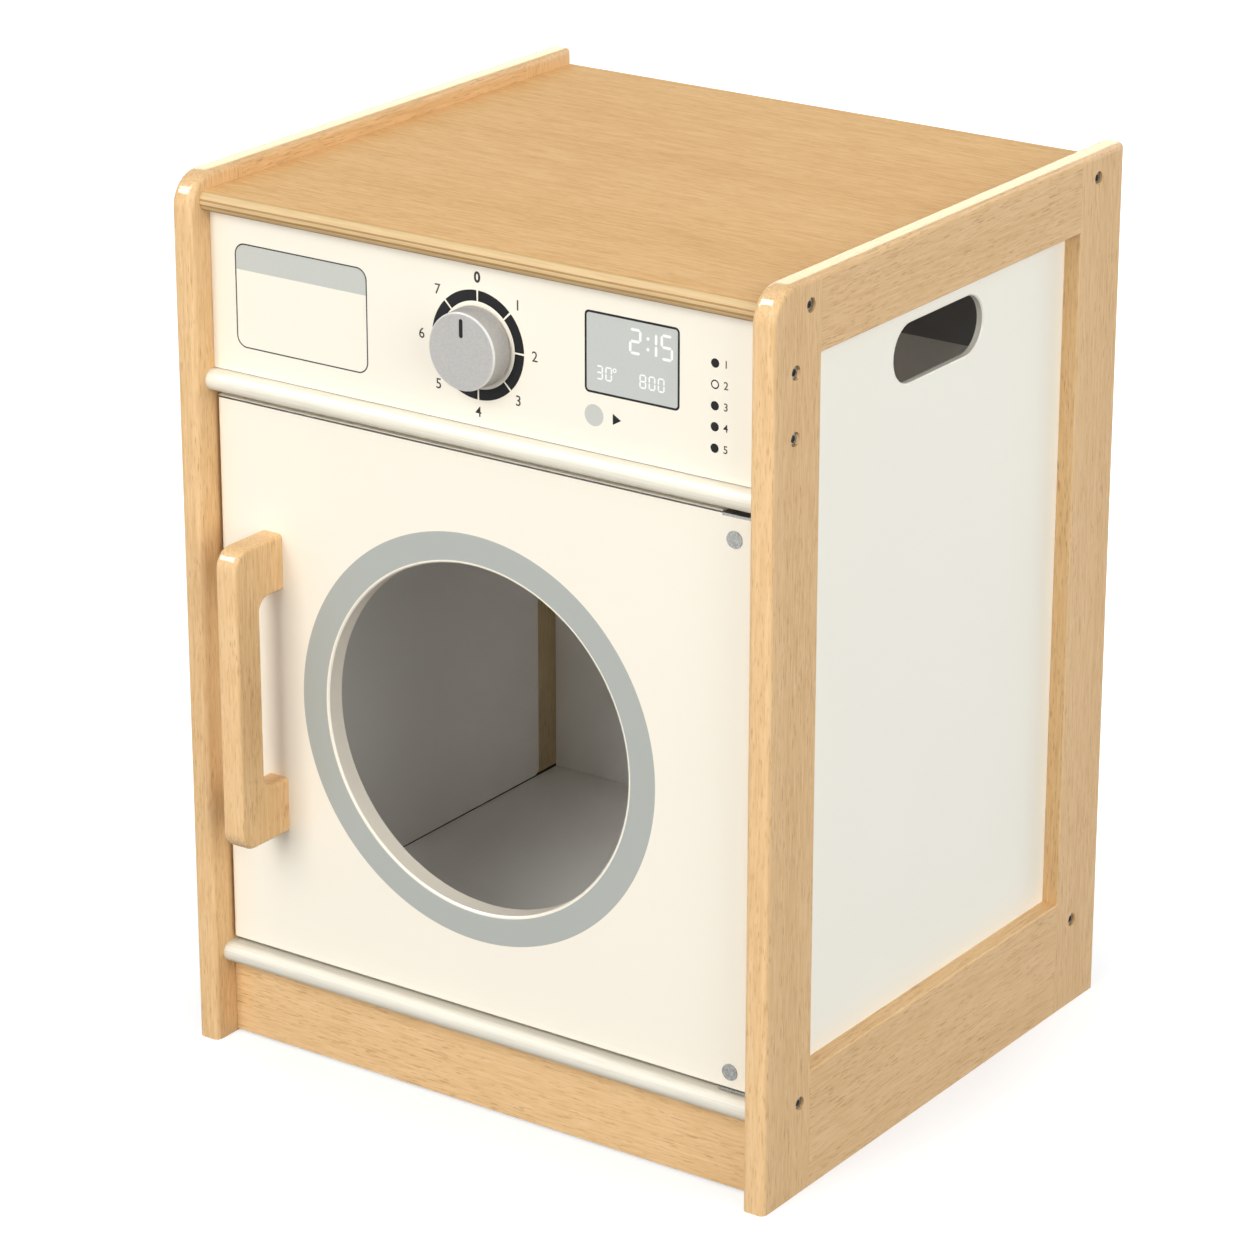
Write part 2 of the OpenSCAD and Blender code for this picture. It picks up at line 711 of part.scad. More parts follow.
// Flanged bush with its flange at the bottom, for the pin of the upper hinge
module hinge_bush() {
    difference() {
        union() {
            cylinder(d = bush_flange_d, h = bush_flange_t);
            cylinder(d = bush_d, h = bush_flange_t + bush_l);
        }
        translate([0, 0, -1]) cylinder(r = hinge_pin_d / 2 + run_gap, h = bush_l + 2);
    }
}

module hinge_bushes() {
    color(nylon) stand() translate([pivot_x, pivot_y, 0]) {
        translate([0, 0, strip_z - bush_flange_t]) hinge_bush();
        translate([0, 0, floor_z + bush_flange_t]) mirror([0, 0, 1]) hinge_bush();
    }
}

// Hinge bracket for the top of the door: a plate let into the edge and a leg down the back
module hinge_bracket(bolt_inset) {
    difference() {
        union() {
            linear_extrude(hinge_plate_t) intersection() {
                union() {
                    translate([pivot_x, pivot_y]) circle(hinge_edge_r);
                    translate([plate_end_x, face_setback])
                        square([hinge_plate_l - hinge_edge_r, door_t + hinge_plate_t]);
                }
                translate([pivot_x - hinge_plate_l, face_setback])
                    square([2 * hinge_plate_l, door_t + hinge_plate_t]);
            }
            translate([plate_end_x, door_back_y, -hinge_leg_l])
                cube([hinge_leg_w, hinge_plate_t, hinge_leg_l + hinge_plate_t]);
        }
        translate([pivot_x, pivot_y, -1]) cylinder(r = hinge_pin_d / 2 + fit_gap, h = hinge_plate_t + 2);
        translate([hinge_bolt_x, door_back_y - 1, -bolt_inset]) facing_back()
            cylinder(r = hinge_bolt_d / 2 + fit_gap, h = hinge_plate_t + 2);
    }
}

module upper_hinge_bracket() {
    color(steel) stand() translate([0, 0, let_in_z]) hinge_bracket(upper_bolt_inset - hinge_let_in);
}

module lower_hinge_bracket() {
    color(steel) stand() translate([0, 0, door_z0]) mirror([0, 0, 1]) hinge_bracket(lower_bolt_inset);
}

module hinge_pins() {
    color(steel) stand() translate([pivot_x, pivot_y, 0]) {
        translate([0, 0, let_in_z])
            cylinder(d = hinge_pin_d, h = hinge_let_in + hinge_plate_t + hinge_pin_l);
        translate([0, 0, door_z0 - hinge_plate_t - hinge_pin_l])
            cylinder(d = hinge_pin_d, h = hinge_plate_t + hinge_pin_l);
    }
}

// Places children at both hinge bolts, with the axis from the front to the back
module at_hinge_bolts(y) {
    for (z = [door_z0 + lower_bolt_inset, door_z1 - upper_bolt_inset])
        translate([hinge_bolt_x, y, z]) facing_back() children();
}

module hinge_bolts() {
    color(steel) stand() at_hinge_bolts(face_setback - hinge_head_proud) {
        cylinder(d = hinge_head_d, h = hinge_head_t);
        cylinder(d = hinge_bolt_d, h = hinge_head_t + hinge_bolt_l);
    }
}

module hinge_nuts() {
    color(steel) stand() at_hinge_bolts(door_back_y + hinge_plate_t) difference() {
        cylinder(r = hinge_nut_af / sqrt(3), h = hinge_nut_t, $fn = 6);
        translate([0, 0, -1]) cylinder(r = hinge_bolt_d / 2 + fit_gap, h = hinge_nut_t + 2);
    }
}

// Door outline seen from above, with the pivot edge rounded about the hinge axis
module door_plan() {
    edge = -door_edge_x;
    translate([edge + door_edge_r, face_setback]) square([pivot_x - edge - door_edge_r, door_t]);
    translate([edge, face_setback + door_edge_r]) square([2 * door_edge_r, door_t - 2 * door_edge_r]);
    for (y = [face_setback + door_edge_r, door_back_y - door_edge_r])
        translate([edge + door_edge_r, y]) circle(door_edge_r);
    intersection() {
        translate([pivot_x, pivot_y]) circle(hinge_edge_r);
        translate([pivot_x - 1, face_setback]) square([hinge_edge_r + 1, door_t]);
    }
}

// Door section seen from the side, with its front corners rounded
module door_section() {
    translate([face_setback, (door_z0 + door_z1) / 2]) rotate(-90)
        round_front(door_z1 - door_z0, door_t, door_edge_r);
}

module door_panel() {
    color(white) stand() difference() {
        intersection() {
            translate([0, 0, door_z0]) linear_extrude(door_z1 - door_z0) door_plan();
            along_x(2 * door_edge_x + 2) door_section();
        }
        translate([plate_end_x - panel_gap, face_setback - 1, let_in_z])
            cube([2 * hinge_plate_l, door_t + 2, hinge_let_in + 1]);
        translate([window_x, face_setback, window_z]) facing_back() {
            translate([0, 0, -1]) cylinder(r = window_r, h = door_t + 2, $fn = 128);
            translate([0, 0, -eps]) cylinder(r1 = window_r + window_chamfer + eps, r2 = window_r,
                h = window_chamfer + eps, $fn = 128);
        }
        at_hinge_bolts(face_setback - 1) {
            cylinder(r = hinge_head_d / 2 + fit_gap, h = 1 - hinge_head_proud + hinge_head_t);
            cylinder(r = hinge_bolt_d / 2 + fit_gap, h = door_t + 2);
        }
        for (z = handle_screw_zs) translate([handle_x, face_setback - 1, z]) facing_back()
            cylinder(r = handle_screw_d / 2 + fit_gap, h = door_t + 2);
        for (z = handle_screw_zs) translate([handle_x, door_back_y, z]) facing_back() screw_seat();
        strike_screw_spot() cylinder(r = small_screw_d / 2 + fit_gap, h = small_screw_l + fit_gap);
    }
}

// Countersink for a handle screw, opening towards the back
module screw_seat() {
    translate([0, 0, -handle_screw_d / 2]) cylinder(r1 = handle_screw_d / 2 + fit_gap,
        r2 = handle_screw_d + fit_gap + 1, h = handle_screw_d / 2 + 1);
}

// Handle outline in Y and Z, drawn back from its free edges by inset
module handle_outline(inset) {
    difference() {
        corner_block(handle_front_y + inset, handle_z0 + inset, handle_z1 - inset,
            handle_corner_r - inset, 0);
        corner_block(grip_back_y - inset, handle_z0 + handle_foot_h - inset,
            handle_z1 - handle_foot_h + inset, handle_fillet_r + inset, 1);
    }
}

// Block from y to the door face, between z0 and z1, with both front corners rounded
module corner_block(y, z0, z1, r, over) {
    translate([y + r, z0]) square([face_setback + over - y - r, z1 - z0]);
    translate([y, z0 + r]) square([2 * r, z1 - z0 - 2 * r]);
    for (z = [z0 + r, z1 - r]) translate([y + r, z]) circle(r);
}

// Round bar that follows the edge of a corner block, from the door face and back to it
module edge_bar(y, z0, z1, r) {
    for (z = [z0, z1]) translate([0, y + r, z]) facing_back()
        cylinder(r = handle_edge_r, h = face_setback - y - r);
    translate([0, y, z0 + r]) cylinder(r = handle_edge_r, h = z1 - z0 - 2 * r);
    translate([0, y + r, z1 - r]) rotate([180, 0, 0]) rotate([0, 90, 0]) edge_turn(r);
    translate([0, y + r, z0 + r]) rotate([-90, 0, 0]) rotate([0, 90, 0]) edge_turn(r);
}

module edge_turn(r) {
    rotate_extrude(angle = 90) translate([r, 0]) circle(handle_edge_r);
}

module door_handle() {
    e = handle_edge_r;
    color(wood) stand() translate([handle_x, 0, 0]) difference() {
        union() {
            along_x(handle_w) handle_outline(e);
            along_x(handle_w - 2 * e) handle_outline(0);
            for (side = [-1, 1]) translate([side * (handle_w / 2 - e), 0, 0]) {
                edge_bar(handle_front_y + e, handle_z0 + e, handle_z1 - e, handle_corner_r - e);
                edge_bar(grip_back_y - e, handle_z0 + handle_foot_h - e, handle_z1 - handle_foot_h + e,
                    handle_fillet_r + e);
            }
        }
        for (z = handle_screw_zs) translate([0, door_back_y + fit_gap, z]) rotate([90, 0, 0])
            cylinder(r = handle_screw_d / 2 + fit_gap, h = handle_screw_l + 2 * fit_gap);
    }
}

module handle_screws() {
    color(steel) stand() for (z = handle_screw_zs) translate([handle_x, door_back_y, z]) rotate([90, 0, 0]) {
        cylinder(d = handle_screw_d, h = handle_screw_l);
        difference() {
            cylinder(r1 = handle_screw_d, r2 = handle_screw_d / 2, h = handle_screw_d / 2);
            translate([0, 0, -1]) cylinder(r = handle_screw_d / 4, h = 2, $fn = 6);
        }
    }
}

module catch_screw_holes() {
    for (side = [-1, 1])
        translate([catch_x + side * catch_screw_x, catch_front_y + catch_d / 2, strip_z - 1])
            cylinder(r = small_screw_d / 2 + fit_gap, h = small_screw_l + 1);
}

module catch_body() {
    color(white) stand() difference() {
        translate([catch_x - catch_w / 2, catch_front_y, catch_z]) cube([catch_w, catch_d, catch_h]);
        translate([catch_x - magnet_w / 2 - fit_gap, catch_front_y - 1, catch_z + catch_wall])
            cube([magnet_w + 2 * fit_gap, catch_d - catch_back + 1, catch_h - 2 * catch_wall]);
        for (side = [-1, 1])
            translate([catch_x + side * catch_screw_x, catch_front_y + catch_d / 2, catch_z - 1]) {
                cylinder(r = small_screw_d / 2 + fit_gap, h = catch_h + 2);
                cylinder(r = small_screw_d + fit_gap, h = small_screw_d + 1 + fit_gap);
            }
    }
}

module catch_magnet() {
    color(steel) stand() translate([catch_x - magnet_w / 2, catch_front_y, catch_z + catch_wall])
        cube([magnet_w, catch_d - catch_back, catch_h - 2 * catch_wall]);
}

// Pan-headed screw whose head seats at z = 0 and whose shank runs up
module small_screw(l) {
    cylinder(d = small_screw_d, h = l);
    translate([0, 0, -small_screw_d / 2]) difference() {
        cylinder(r = small_screw_d - fit_gap, h = small_screw_d / 2);
        cross_recess();
    }
}

// Cross recess that opens at z = 0
module cross_recess() {
    for (turn = [0, 90]) rotate(turn) cube([recess_l, recess_w, 2 * recess_depth], center = true);
}

module catch_screws() {
    color(steel) stand() for (side = [-1, 1])
        translate([catch_x + side * catch_screw_x, catch_front_y + catch_d / 2, catch_z + small_screw_d])
            small_screw(catch_h - small_screw_d + small_screw_l - 1);
}

module strike_screw_spot() {
    translate([catch_x, door_back_y, strike_z + strike_h / 2]) rotate([90, 0, 0]) children();
}

module strike_plate() {
    color(steel) stand() difference() {
        translate([catch_x - magnet_w / 2, door_back_y, strike_z]) cube([magnet_w, strike_t, strike_h]);
        strike_screw_spot() translate([0, 0, -strike_t - 1])
            cylinder(r1 = small_screw_d / 2 + fit_gap + strike_t + 1, r2 = small_screw_d / 2 + fit_gap,
                h = strike_t + 1);
    }
}

// Countersunk screw that lies just below the face of the strike plate
module strike_screw() {
    head_h = strike_t - strike_screw_sink;
    color(steel) stand() strike_screw_spot() {
        cylinder(d = small_screw_d, h = small_screw_l);
        translate([0, 0, -head_h]) difference() {
            cylinder(r1 = small_screw_d / 2 + head_h, r2 = small_screw_d / 2, h = head_h);
            cross_recess();
        }
    }
}

// Children stand at the dial centre, with the axis from the front to the back
module at_dial(y) {
    translate([0, y, dial_z]) facing_back() children();
}

module dial_knob() {
    depth = knob_back_y - knob_front_y;
    flat_r = knob_face_r - knob_edge_r;
    pointer_mid = pointer_end_r - pointer_l / 2;
    color(knob_grey) stand() difference() {
        at_dial(knob_front_y) rotate_extrude() {
            polygon([[0, 0], [flat_r, 0], [knob_face_r, knob_edge_r], [knob_base_r, depth], [0, depth]]);
            translate([flat_r, knob_edge_r]) circle(knob_edge_r);
        }
        at_dial(knob_sink_y) cylinder(r = spindle_d / 2 + fit_gap, h = spindle_sink + 1);
        translate([0, knob_front_y - 1, dial_z + pointer_mid]) facing_back() {
            for (end = [-1, 1]) translate([0, end * (pointer_l - pointer_w) / 2, 0])
                cylinder(d = pointer_w, h = 1 + pointer_depth);
            translate([-pointer_w / 2, -(pointer_l - pointer_w) / 2, 0])
                cube([pointer_w, pointer_l - pointer_w, 1 + pointer_depth]);
        }
    }
}

module dial_spindle() {
    color(steel) stand() {
        at_dial(knob_sink_y) cylinder(d = spindle_d, h = thread_y - knob_sink_y);
        at_dial(thread_y) cylinder(d = spindle_thread_d, h = washer_t + spindle_nut_t + thread_tip);
    }
}

module dial_bush() {
    color(nylon) stand() difference() {
        union() {
            at_dial(face_setback - dial_flange_t) cylinder(d = dial_flange_d, h = dial_flange_t);
            at_dial(face_setback - dial_flange_t) cylinder(d = dial_bush_d, h = dial_flange_t + fascia_t);
        }
        at_dial(face_setback - dial_flange_t - 1)
            cylinder(r = spindle_d / 2 + run_gap, h = dial_flange_t + fascia_t + 2);
    }
}

// Wheel with one round notch for each click
module click_wheel() {
    color(nylon) stand() at_dial(click_wheel_y) difference() {
        cylinder(r = click_wheel_r, h = click_wheel_t);
        translate([0, 0, -1]) cylinder(r = spindle_d / 2 + fit_gap, h = click_wheel_t + 2);
        for (click = [0 : click_count - 1]) rotate(90 + click * 360 / click_count)
            translate([notch_centre_r, 0, -1]) cylinder(r = click_notch_r, h = click_wheel_t + 2);
    }
}

module spindle_washer() {
    color(steel) stand() at_dial(thread_y) difference() {
        cylinder(d = washer_d, h = washer_t);
        translate([0, 0, -1]) cylinder(r = spindle_thread_d / 2 + fit_gap, h = washer_t + 2);
    }
}

module spindle_nut() {
    color(steel) stand() at_dial(thread_y + washer_t) difference() {
        cylinder(r = spindle_nut_af / sqrt(3), h = spindle_nut_t, $fn = 6);
        translate([0, 0, -1]) cylinder(r = spindle_thread_d / 2 + fit_gap, h = spindle_nut_t + 2);
    }
}

// Leaf under the wheel: a round nose in the lowest notch and a foot screwed to the fascia
module click_spring() {
    color(steel) stand() difference() {
        union() {
            translate([-nose_r - spring_lead, fascia_back_y, spring_z - spring_t])
                cube([nose_r + spring_lead + spring_l, spring_t + click_wheel_t, spring_t]);
            translate([spring_l - spring_foot, fascia_back_y, spring_z - spring_foot])
                cube([spring_foot, spring_t, spring_foot]);
            translate([0, fascia_back_y, dial_z - notch_centre_r]) facing_back() nose_section();
        }
        spring_screw_spot() translate([0, 0, -spring_t - 1])
            cylinder(r = small_screw_d / 2 + fit_gap, h = spring_t + 2);
    }
}

// Rounded tip of the click spring, closed down to the leaf
module nose_section() {
    linear_extrude(spring_t + click_wheel_t) {
        circle(nose_r);
        translate([-nose_r, 0]) square([2 * nose_r, nose_r / 2 + eps]);
    }
}

module spring_screw_spot() {
    translate([spring_l - spring_foot / 2, fascia_back_y, spring_z - spring_foot / 2 - spring_t / 2])
        rotate([90, 0, 0]) children();
}

module spring_screw() {
    color(steel) stand() spring_screw_spot() translate([0, 0, -spring_t])
        small_screw(spring_t + small_screw_l);
}

left_front_stile();
left_back_stile();
left_top_rail();
left_bottom_rail();
left_side_panel();
right_front_stile();
right_back_stile();
right_top_rail();
right_bottom_rail();
right_side_panel();
frame_dowels();
top_board();
fascia();
fascia_shelf();
fascia_dowels();
lower_shelf();
plinth();
plinth_dowels();
back_panel();
frame_bolts();
barrel_nuts();
hinge_bushes();
dial_bush();
click_spring();
spring_screw();
catch_body();
catch_magnet();
catch_screws();
door_panel();
door_handle();
handle_screws();
upper_hinge_bracket();
lower_hinge_bracket();
hinge_pins();
hinge_bolts();
hinge_nuts();
strike_plate();
strike_screw();
dial_knob();
dial_spindle();
click_wheel();
spindle_washer();
spindle_nut();
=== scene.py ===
import math

import bmesh
import bpy
import numpy as np
from mathutils import Euler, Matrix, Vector


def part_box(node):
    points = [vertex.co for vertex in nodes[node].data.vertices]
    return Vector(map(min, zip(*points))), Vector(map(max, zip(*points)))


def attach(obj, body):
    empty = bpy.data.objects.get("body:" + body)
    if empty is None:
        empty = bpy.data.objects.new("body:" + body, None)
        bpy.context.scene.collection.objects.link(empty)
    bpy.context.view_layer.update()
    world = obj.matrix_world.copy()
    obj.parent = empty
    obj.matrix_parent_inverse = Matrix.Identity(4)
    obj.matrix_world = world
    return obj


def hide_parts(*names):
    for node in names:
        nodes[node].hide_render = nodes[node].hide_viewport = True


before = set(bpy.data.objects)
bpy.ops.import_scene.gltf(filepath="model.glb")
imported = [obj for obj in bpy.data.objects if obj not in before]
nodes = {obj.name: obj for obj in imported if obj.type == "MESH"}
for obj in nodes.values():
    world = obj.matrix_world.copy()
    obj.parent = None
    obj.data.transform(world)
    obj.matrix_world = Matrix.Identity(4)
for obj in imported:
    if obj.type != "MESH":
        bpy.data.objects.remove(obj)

scene = bpy.context.scene
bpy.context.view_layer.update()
print("frame loaded with", len(nodes), "nodes")


# Camera: where the photograph was taken from, in metres and degrees; lens and sensor in millimetres
cameraPlace = {
    "position": (1.4935, -2.1502, 1.2538),
    "yaw": 35.007,
    "pitch": 20.565,
    "lens": 135.07,
    "sensor": 36,
    "shiftX": 0.0071,
    "shiftY": -0.0217,
    "reach": 60,
}


def makeCamera(place):
    # Starts level along +Y, tips down by the pitch and then turns left by the yaw.
    data = bpy.data.cameras.new("camera")
    data.lens = place["lens"]
    data.sensor_width = place["sensor"]
    data.shift_x = place["shiftX"]
    data.shift_y = place["shiftY"]
    data.clip_end = place["reach"]
    camera = bpy.data.objects.new("camera", data)
    camera.location = place["position"]
    tip, turn = math.radians(90 - place["pitch"]), math.radians(place["yaw"])
    camera.rotation_euler = Euler((tip, 0, turn))
    scene.collection.objects.link(camera)
    scene.camera = camera


makeCamera(cameraPlace)

# Places that the frame gives, in metres
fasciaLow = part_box("fascia")[0]
doorLow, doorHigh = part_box("door_panel")
knobLow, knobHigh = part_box("dial_knob")
topLow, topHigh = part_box("top_board")
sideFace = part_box("right_side_panel")[0].x
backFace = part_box("back_panel")[0].y
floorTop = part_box("lower_shelf")[1].z
fasciaFace = fasciaLow.y
doorFace = doorLow.y
dialX = (knobLow.x + knobHigh.x) / 2
dialZ = (knobLow.z + knobHigh.z) / 2


def screenColour(red, green, blue):
    # Linear value of a 0 to 255 screen colour: a power of 2.4 above the dark end, and a straight
    # line below it.
    values = np.array([red, green, blue]) / 255
    linear = np.where(values <= 0.04045, values / 12.92, ((values + 0.055) / 1.055) ** 2.4)
    return (*linear.tolist(), 1.0)


def darkened(colour, share):
    # Each of the three channels times the share; alpha stays at one.
    return (*(value * share for value in colour[:3]), 1.0)


def addNode(tree, kind, inputs=None, **settings):
    # One shader node: an input given as a socket is linked, and any other value is set on it.
    node = tree.nodes.new(kind)
    for key, value in settings.items():
        setattr(node, key, value)
    for key, value in (inputs or {}).items():
        if isinstance(value, bpy.types.NodeSocket):
            tree.links.new(value, node.inputs[key])
        else:
            node.inputs[key].default_value = value
    return node


def mixColours(tree, factor, first, second, blend="MIX"):
    # The first colour at factor nought and the second, or the blend of both, at factor one.
    # Sockets 6 and 7 of the node are its two colours, and output 2 is the result.
    inputs = {0: factor, 6: first, 7: second}
    node = addNode(tree, "ShaderNodeMix", inputs, data_type="RGBA", blend_type=blend)
    return node.outputs[2]


def mixNumbers(tree, factor, first, second):
    # The first number at factor nought and the second at factor one.
    inputs = {0: factor, 2: first, 3: second}
    return addNode(tree, "ShaderNodeMix", inputs, data_type="FLOAT").outputs[0]


def calculate(tree, operation, first, second=0.0, third=0.0):
    # One sum on numbers, which takes as many of the three as its operation needs.
    inputs = {0: first, 1: second, 2: third}
    return addNode(tree, "ShaderNodeMath", inputs, operation=operation).outputs[0]


def calculateVector(tree, operation, first, second=(0, 0, 0)):
    # One sum on vectors; a length and a dot product are numbers, and other results are vectors.
    inputs = {0: first, 1: second}
    node = addNode(tree, "ShaderNodeVectorMath", inputs, operation=operation)
    return node.outputs["Value" if operation in ("LENGTH", "DOT_PRODUCT") else "Vector"]


def product(tree, first, *others):
    # The first number times each of the others in turn.
    for other in others:
        first = calculate(tree, "MULTIPLY", first, other)
    return first


def below(tree, value, limit):
    # One where the value is under the limit, and nought elsewhere.
    return calculate(tree, "LESS_THAN", value, limit)


def above(tree, value, limit):
    # One where the value is over the limit, and nought elsewhere.
    return calculate(tree, "GREATER_THAN", value, limit)


def mapRange(tree, value, fromLow, fromHigh, toLow=0.0, toHigh=1.0):
    # A straight line from toLow at fromLow to toHigh at fromHigh, and level beyond both.
    inputs = {"Value": value, "From Min": fromLow, "From Max": fromHigh,
              "To Min": toLow, "To Max": toHigh}
    return addNode(tree, "ShaderNodeMapRange", inputs).outputs[0]


def axesOf(tree, place):
    # The X, Y and Z of a place as numbers.
    return addNode(tree, "ShaderNodeSeparateXYZ", {0: place}).outputs


def colourRamp(tree, factor, stops, interpolation="LINEAR"):
    # Colours along the factor; each stop is a place from 0 to 1 and a colour.
    node = addNode(tree, "ShaderNodeValToRGB", {0: factor})
    node.color_ramp.interpolation = interpolation
    while len(node.color_ramp.elements) < len(stops):
        node.color_ramp.elements.new(0.5)
    for element, (place, colour) in zip(node.color_ramp.elements, stops):
        element.position = place
        element.color = colour
    return node.outputs[0]


def stretchedNoise(tree, place, period, detail, roughness, offset):
    # Noise whose lumps are about one period wide along each axis, the periods being in metres.
    mapping = addNode(tree, "ShaderNodeMapping", {
        "Vector": place, "Location": (offset, offset, offset),
        "Scale": [1 / length for length in period]}, vector_type="POINT")
    noise = addNode(tree, "ShaderNodeTexNoise", {
        "Vector": mapping.outputs[0], "Scale": 1.0, "Detail": detail, "Roughness": roughness})
    return noise.outputs["Fac"]


def newMaterial(name, shaderValues):
    # A material with one Principled shader whose plain values are set on its own sockets.
    material = bpy.data.materials.new(name)
    material.use_nodes = True
    tree = material.node_tree
    shader = tree.nodes["Principled BSDF"]
    for key, value in shaderValues.items():
        shader.inputs[key].default_value = value
    place = addNode(tree, "ShaderNodeTexCoord").outputs["Object"]
    return material, tree, shader, place


def addColour(tree, shader, colour):
    # The shader's own colour is the one given.
    tree.links.new(colour, shader.inputs["Base Color"])


def addGloss(tree, shader, noise, lowest, highest):
    # The roughness follows the noise from the lowest value to the highest.
    gloss = mapRange(tree, noise, 0.0, 1.0, lowest, highest)
    tree.links.new(gloss, shader.inputs["Roughness"])


def addBump(tree, shader, height, strength, distance=0.0001):
    # The surface tips as if the height were that of a relief of this distance, in metres.
    inputs = {"Height": height, "Strength": strength, "Distance": distance}
    bump = addNode(tree, "ShaderNodeBump", inputs)
    tree.links.new(bump.outputs[0], shader.inputs["Normal"])


# Inside of the drum space, whose colours carry painted shade: the walls darker towards the door,
# a dark space above the compartment, a dark strip of floor under the door, and the timber tinted
# cooler and dark at its foot; lengths are in metres. It starts a little behind the door, and the
# floor's strip of painted shade fades in before it.
inside = {
    "wall": screenColour(252, 249, 243),
    # Painted shade: the walls' darker tone at the door
    "wallFront": screenColour(200, 197, 191),
    "floor": screenColour(255, 253, 248),
    # Painted shade of the gap under the door, on the floor
    "sillShade": screenColour(150, 147, 140),
    # Painted shade above the compartment
    "loft": screenColour(118, 115, 109),
    "loftFrom": 0.405,
    # Painted shade: the cooler, duller tint of the timber inside
    "timber": screenColour(222, 240, 255),
    # Painted shade at the foot of the timber inside
    "footShade": screenColour(66, 58, 48),
    "footShadeWidth": 0.0016,
    "behindDoor": 0.003,
    # Where the floor's painted shade under the door fades in, before the space
    "shadeFadeFrom": 0.012,
    "shadeFadeTo": 0.009,
    "margin": 0.0003,
}


def withinMask(tree, axes):
    # One inside: between the side panels, under the top, behind the door and before the back.
    margin = inside["margin"]
    return product(tree, below(tree, calculate(tree, "ABSOLUTE", axes["X"]), sideFace + margin),
                   below(tree, axes["Z"], topLow.z + margin),
                   above(tree, axes["Y"], doorHigh.y + inside["behindDoor"]),
                   below(tree, axes["Y"], backFace + margin))


def insideCoat(tree, axes, tone):
    # The walls go from a darker tone at the door to another at the back, a painted shade, with a
    # dark painted shade above the compartment, and the floor has its own. The strip of floor under
    # the door's foot is darker: painted shade for the gap under the door.
    margin = inside["margin"]
    doorBack = doorHigh.y + inside["behindDoor"]
    depth = mapRange(tree, axes["Y"], doorBack, backFace + margin)
    # Painted shade: the walls darken towards the door, and above the compartment
    wall = mixColours(tree, depth, inside["wallFront"], inside["wall"])
    wall = mixColours(tree, above(tree, axes["Z"], inside["loftFrom"]), wall, inside["loft"])
    low = below(tree, axes["Z"], floorTop + margin)
    coat = mixColours(tree, low, wall, inside["floor"])
    tone = mixColours(tree, withinMask(tree, axes), tone, coat)
    # Painted shade on the floor's strip under the door
    shadeFade = mapRange(tree, axes["Y"], doorBack - inside["shadeFadeFrom"],
                      doorBack - inside["shadeFadeTo"])
    sillShade = product(tree, shadeFade, low, above(tree, axes["Z"], floorTop - margin),
                   below(tree, axes["Y"], doorBack))
    return mixColours(tree, sillShade, tone, inside["sillShade"])


# Lacquered beech; the width and length of one streak or pore are across and along the grain
beech = {
    "tones": [(0.36, screenColour(219, 177, 123)), (0.5, screenColour(230, 190, 137)),
              (0.64, screenColour(237, 199, 149))],
    "bands": {"width": 0.02, "length": 0.35, "detail": 1.0, "roughness": 0.5, "offset": 3.1},
    "streaks": {"width": 0.0014, "length": 0.026, "detail": 4.0, "roughness": 0.62, "offset": 7.7},
    "streakShare": 0.75,
    "pores": {"width": 0.0008, "length": 0.0085, "detail": 1.0, "roughness": 0.5, "offset": 1.3},
    "poreLimits": (0.58, 0.7),
    "clusters": {"width": 0.012, "length": 0.05, "detail": 2.0, "roughness": 0.5, "offset": 5.2},
    "clusterLimits": (0.2, 0.6),
    "poreColour": screenColour(164, 118, 72),
    "poreShare": 0.5,
    "roughness": (0.36, 0.5),
    "specular": 0.05,
    "coat": 0.35,
    "coatRoughness": 0.035,
    "bump": 0.25,
}


def toneOf(tree, streaks, bands, streakShare):
    # The streaks times their share plus the bands times the rest.
    rest = calculate(tree, "MULTIPLY", bands, 1 - streakShare)
    return calculate(tree, "MULTIPLY_ADD", streaks, streakShare, rest)


def beechMaterial(name, grain):
    # Broad bands and narrow streaks along the grain pick the tone, and short dark pores lie over
    # them in clusters. Inside, the wood carries painted shade: a cooler, duller tint, and a dark
    # shade from just above the floor's top downwards.
    material, tree, shader, place = newMaterial(name, {
        "Specular IOR Level": beech["specular"], "Coat Weight": beech["coat"],
        "Coat Roughness": beech["coatRoughness"]})

    def grainNoise(key):
        look = beech[key]
        period = [look["length"] if axis == grain else look["width"] for axis in "XYZ"]
        return stretchedNoise(tree, place, period, look["detail"], look["roughness"],
                              look["offset"])

    streaks = grainNoise("streaks")
    tone = toneOf(tree, streaks, grainNoise("bands"), beech["streakShare"])
    poreMask = mapRange(tree, grainNoise("pores"), *beech["poreLimits"])
    clusterMask = mapRange(tree, grainNoise("clusters"), *beech["clusterLimits"])
    pores = product(tree, poreMask, clusterMask, beech["poreShare"])
    colour = mixColours(tree, pores, colourRamp(tree, tone, beech["tones"]), beech["poreColour"])
    axes = axesOf(tree, place)
    # Painted shade inside: a cooler, duller tint, and a dark shade at the foot
    shadeTinted = mixColours(tree, 1.0, colour, inside["timber"], "MULTIPLY")
    foot = below(tree, axes["Z"], floorTop + inside["footShadeWidth"])
    coat = mixColours(tree, foot, shadeTinted, inside["footShade"])
    addColour(tree, shader, mixColours(tree, withinMask(tree, axes), colour, coat))
    addGloss(tree, shader, streaks, *beech["roughness"])
    addBump(tree, shader, calculate(tree, "SUBTRACT", streaks, pores), beech["bump"])
    return material


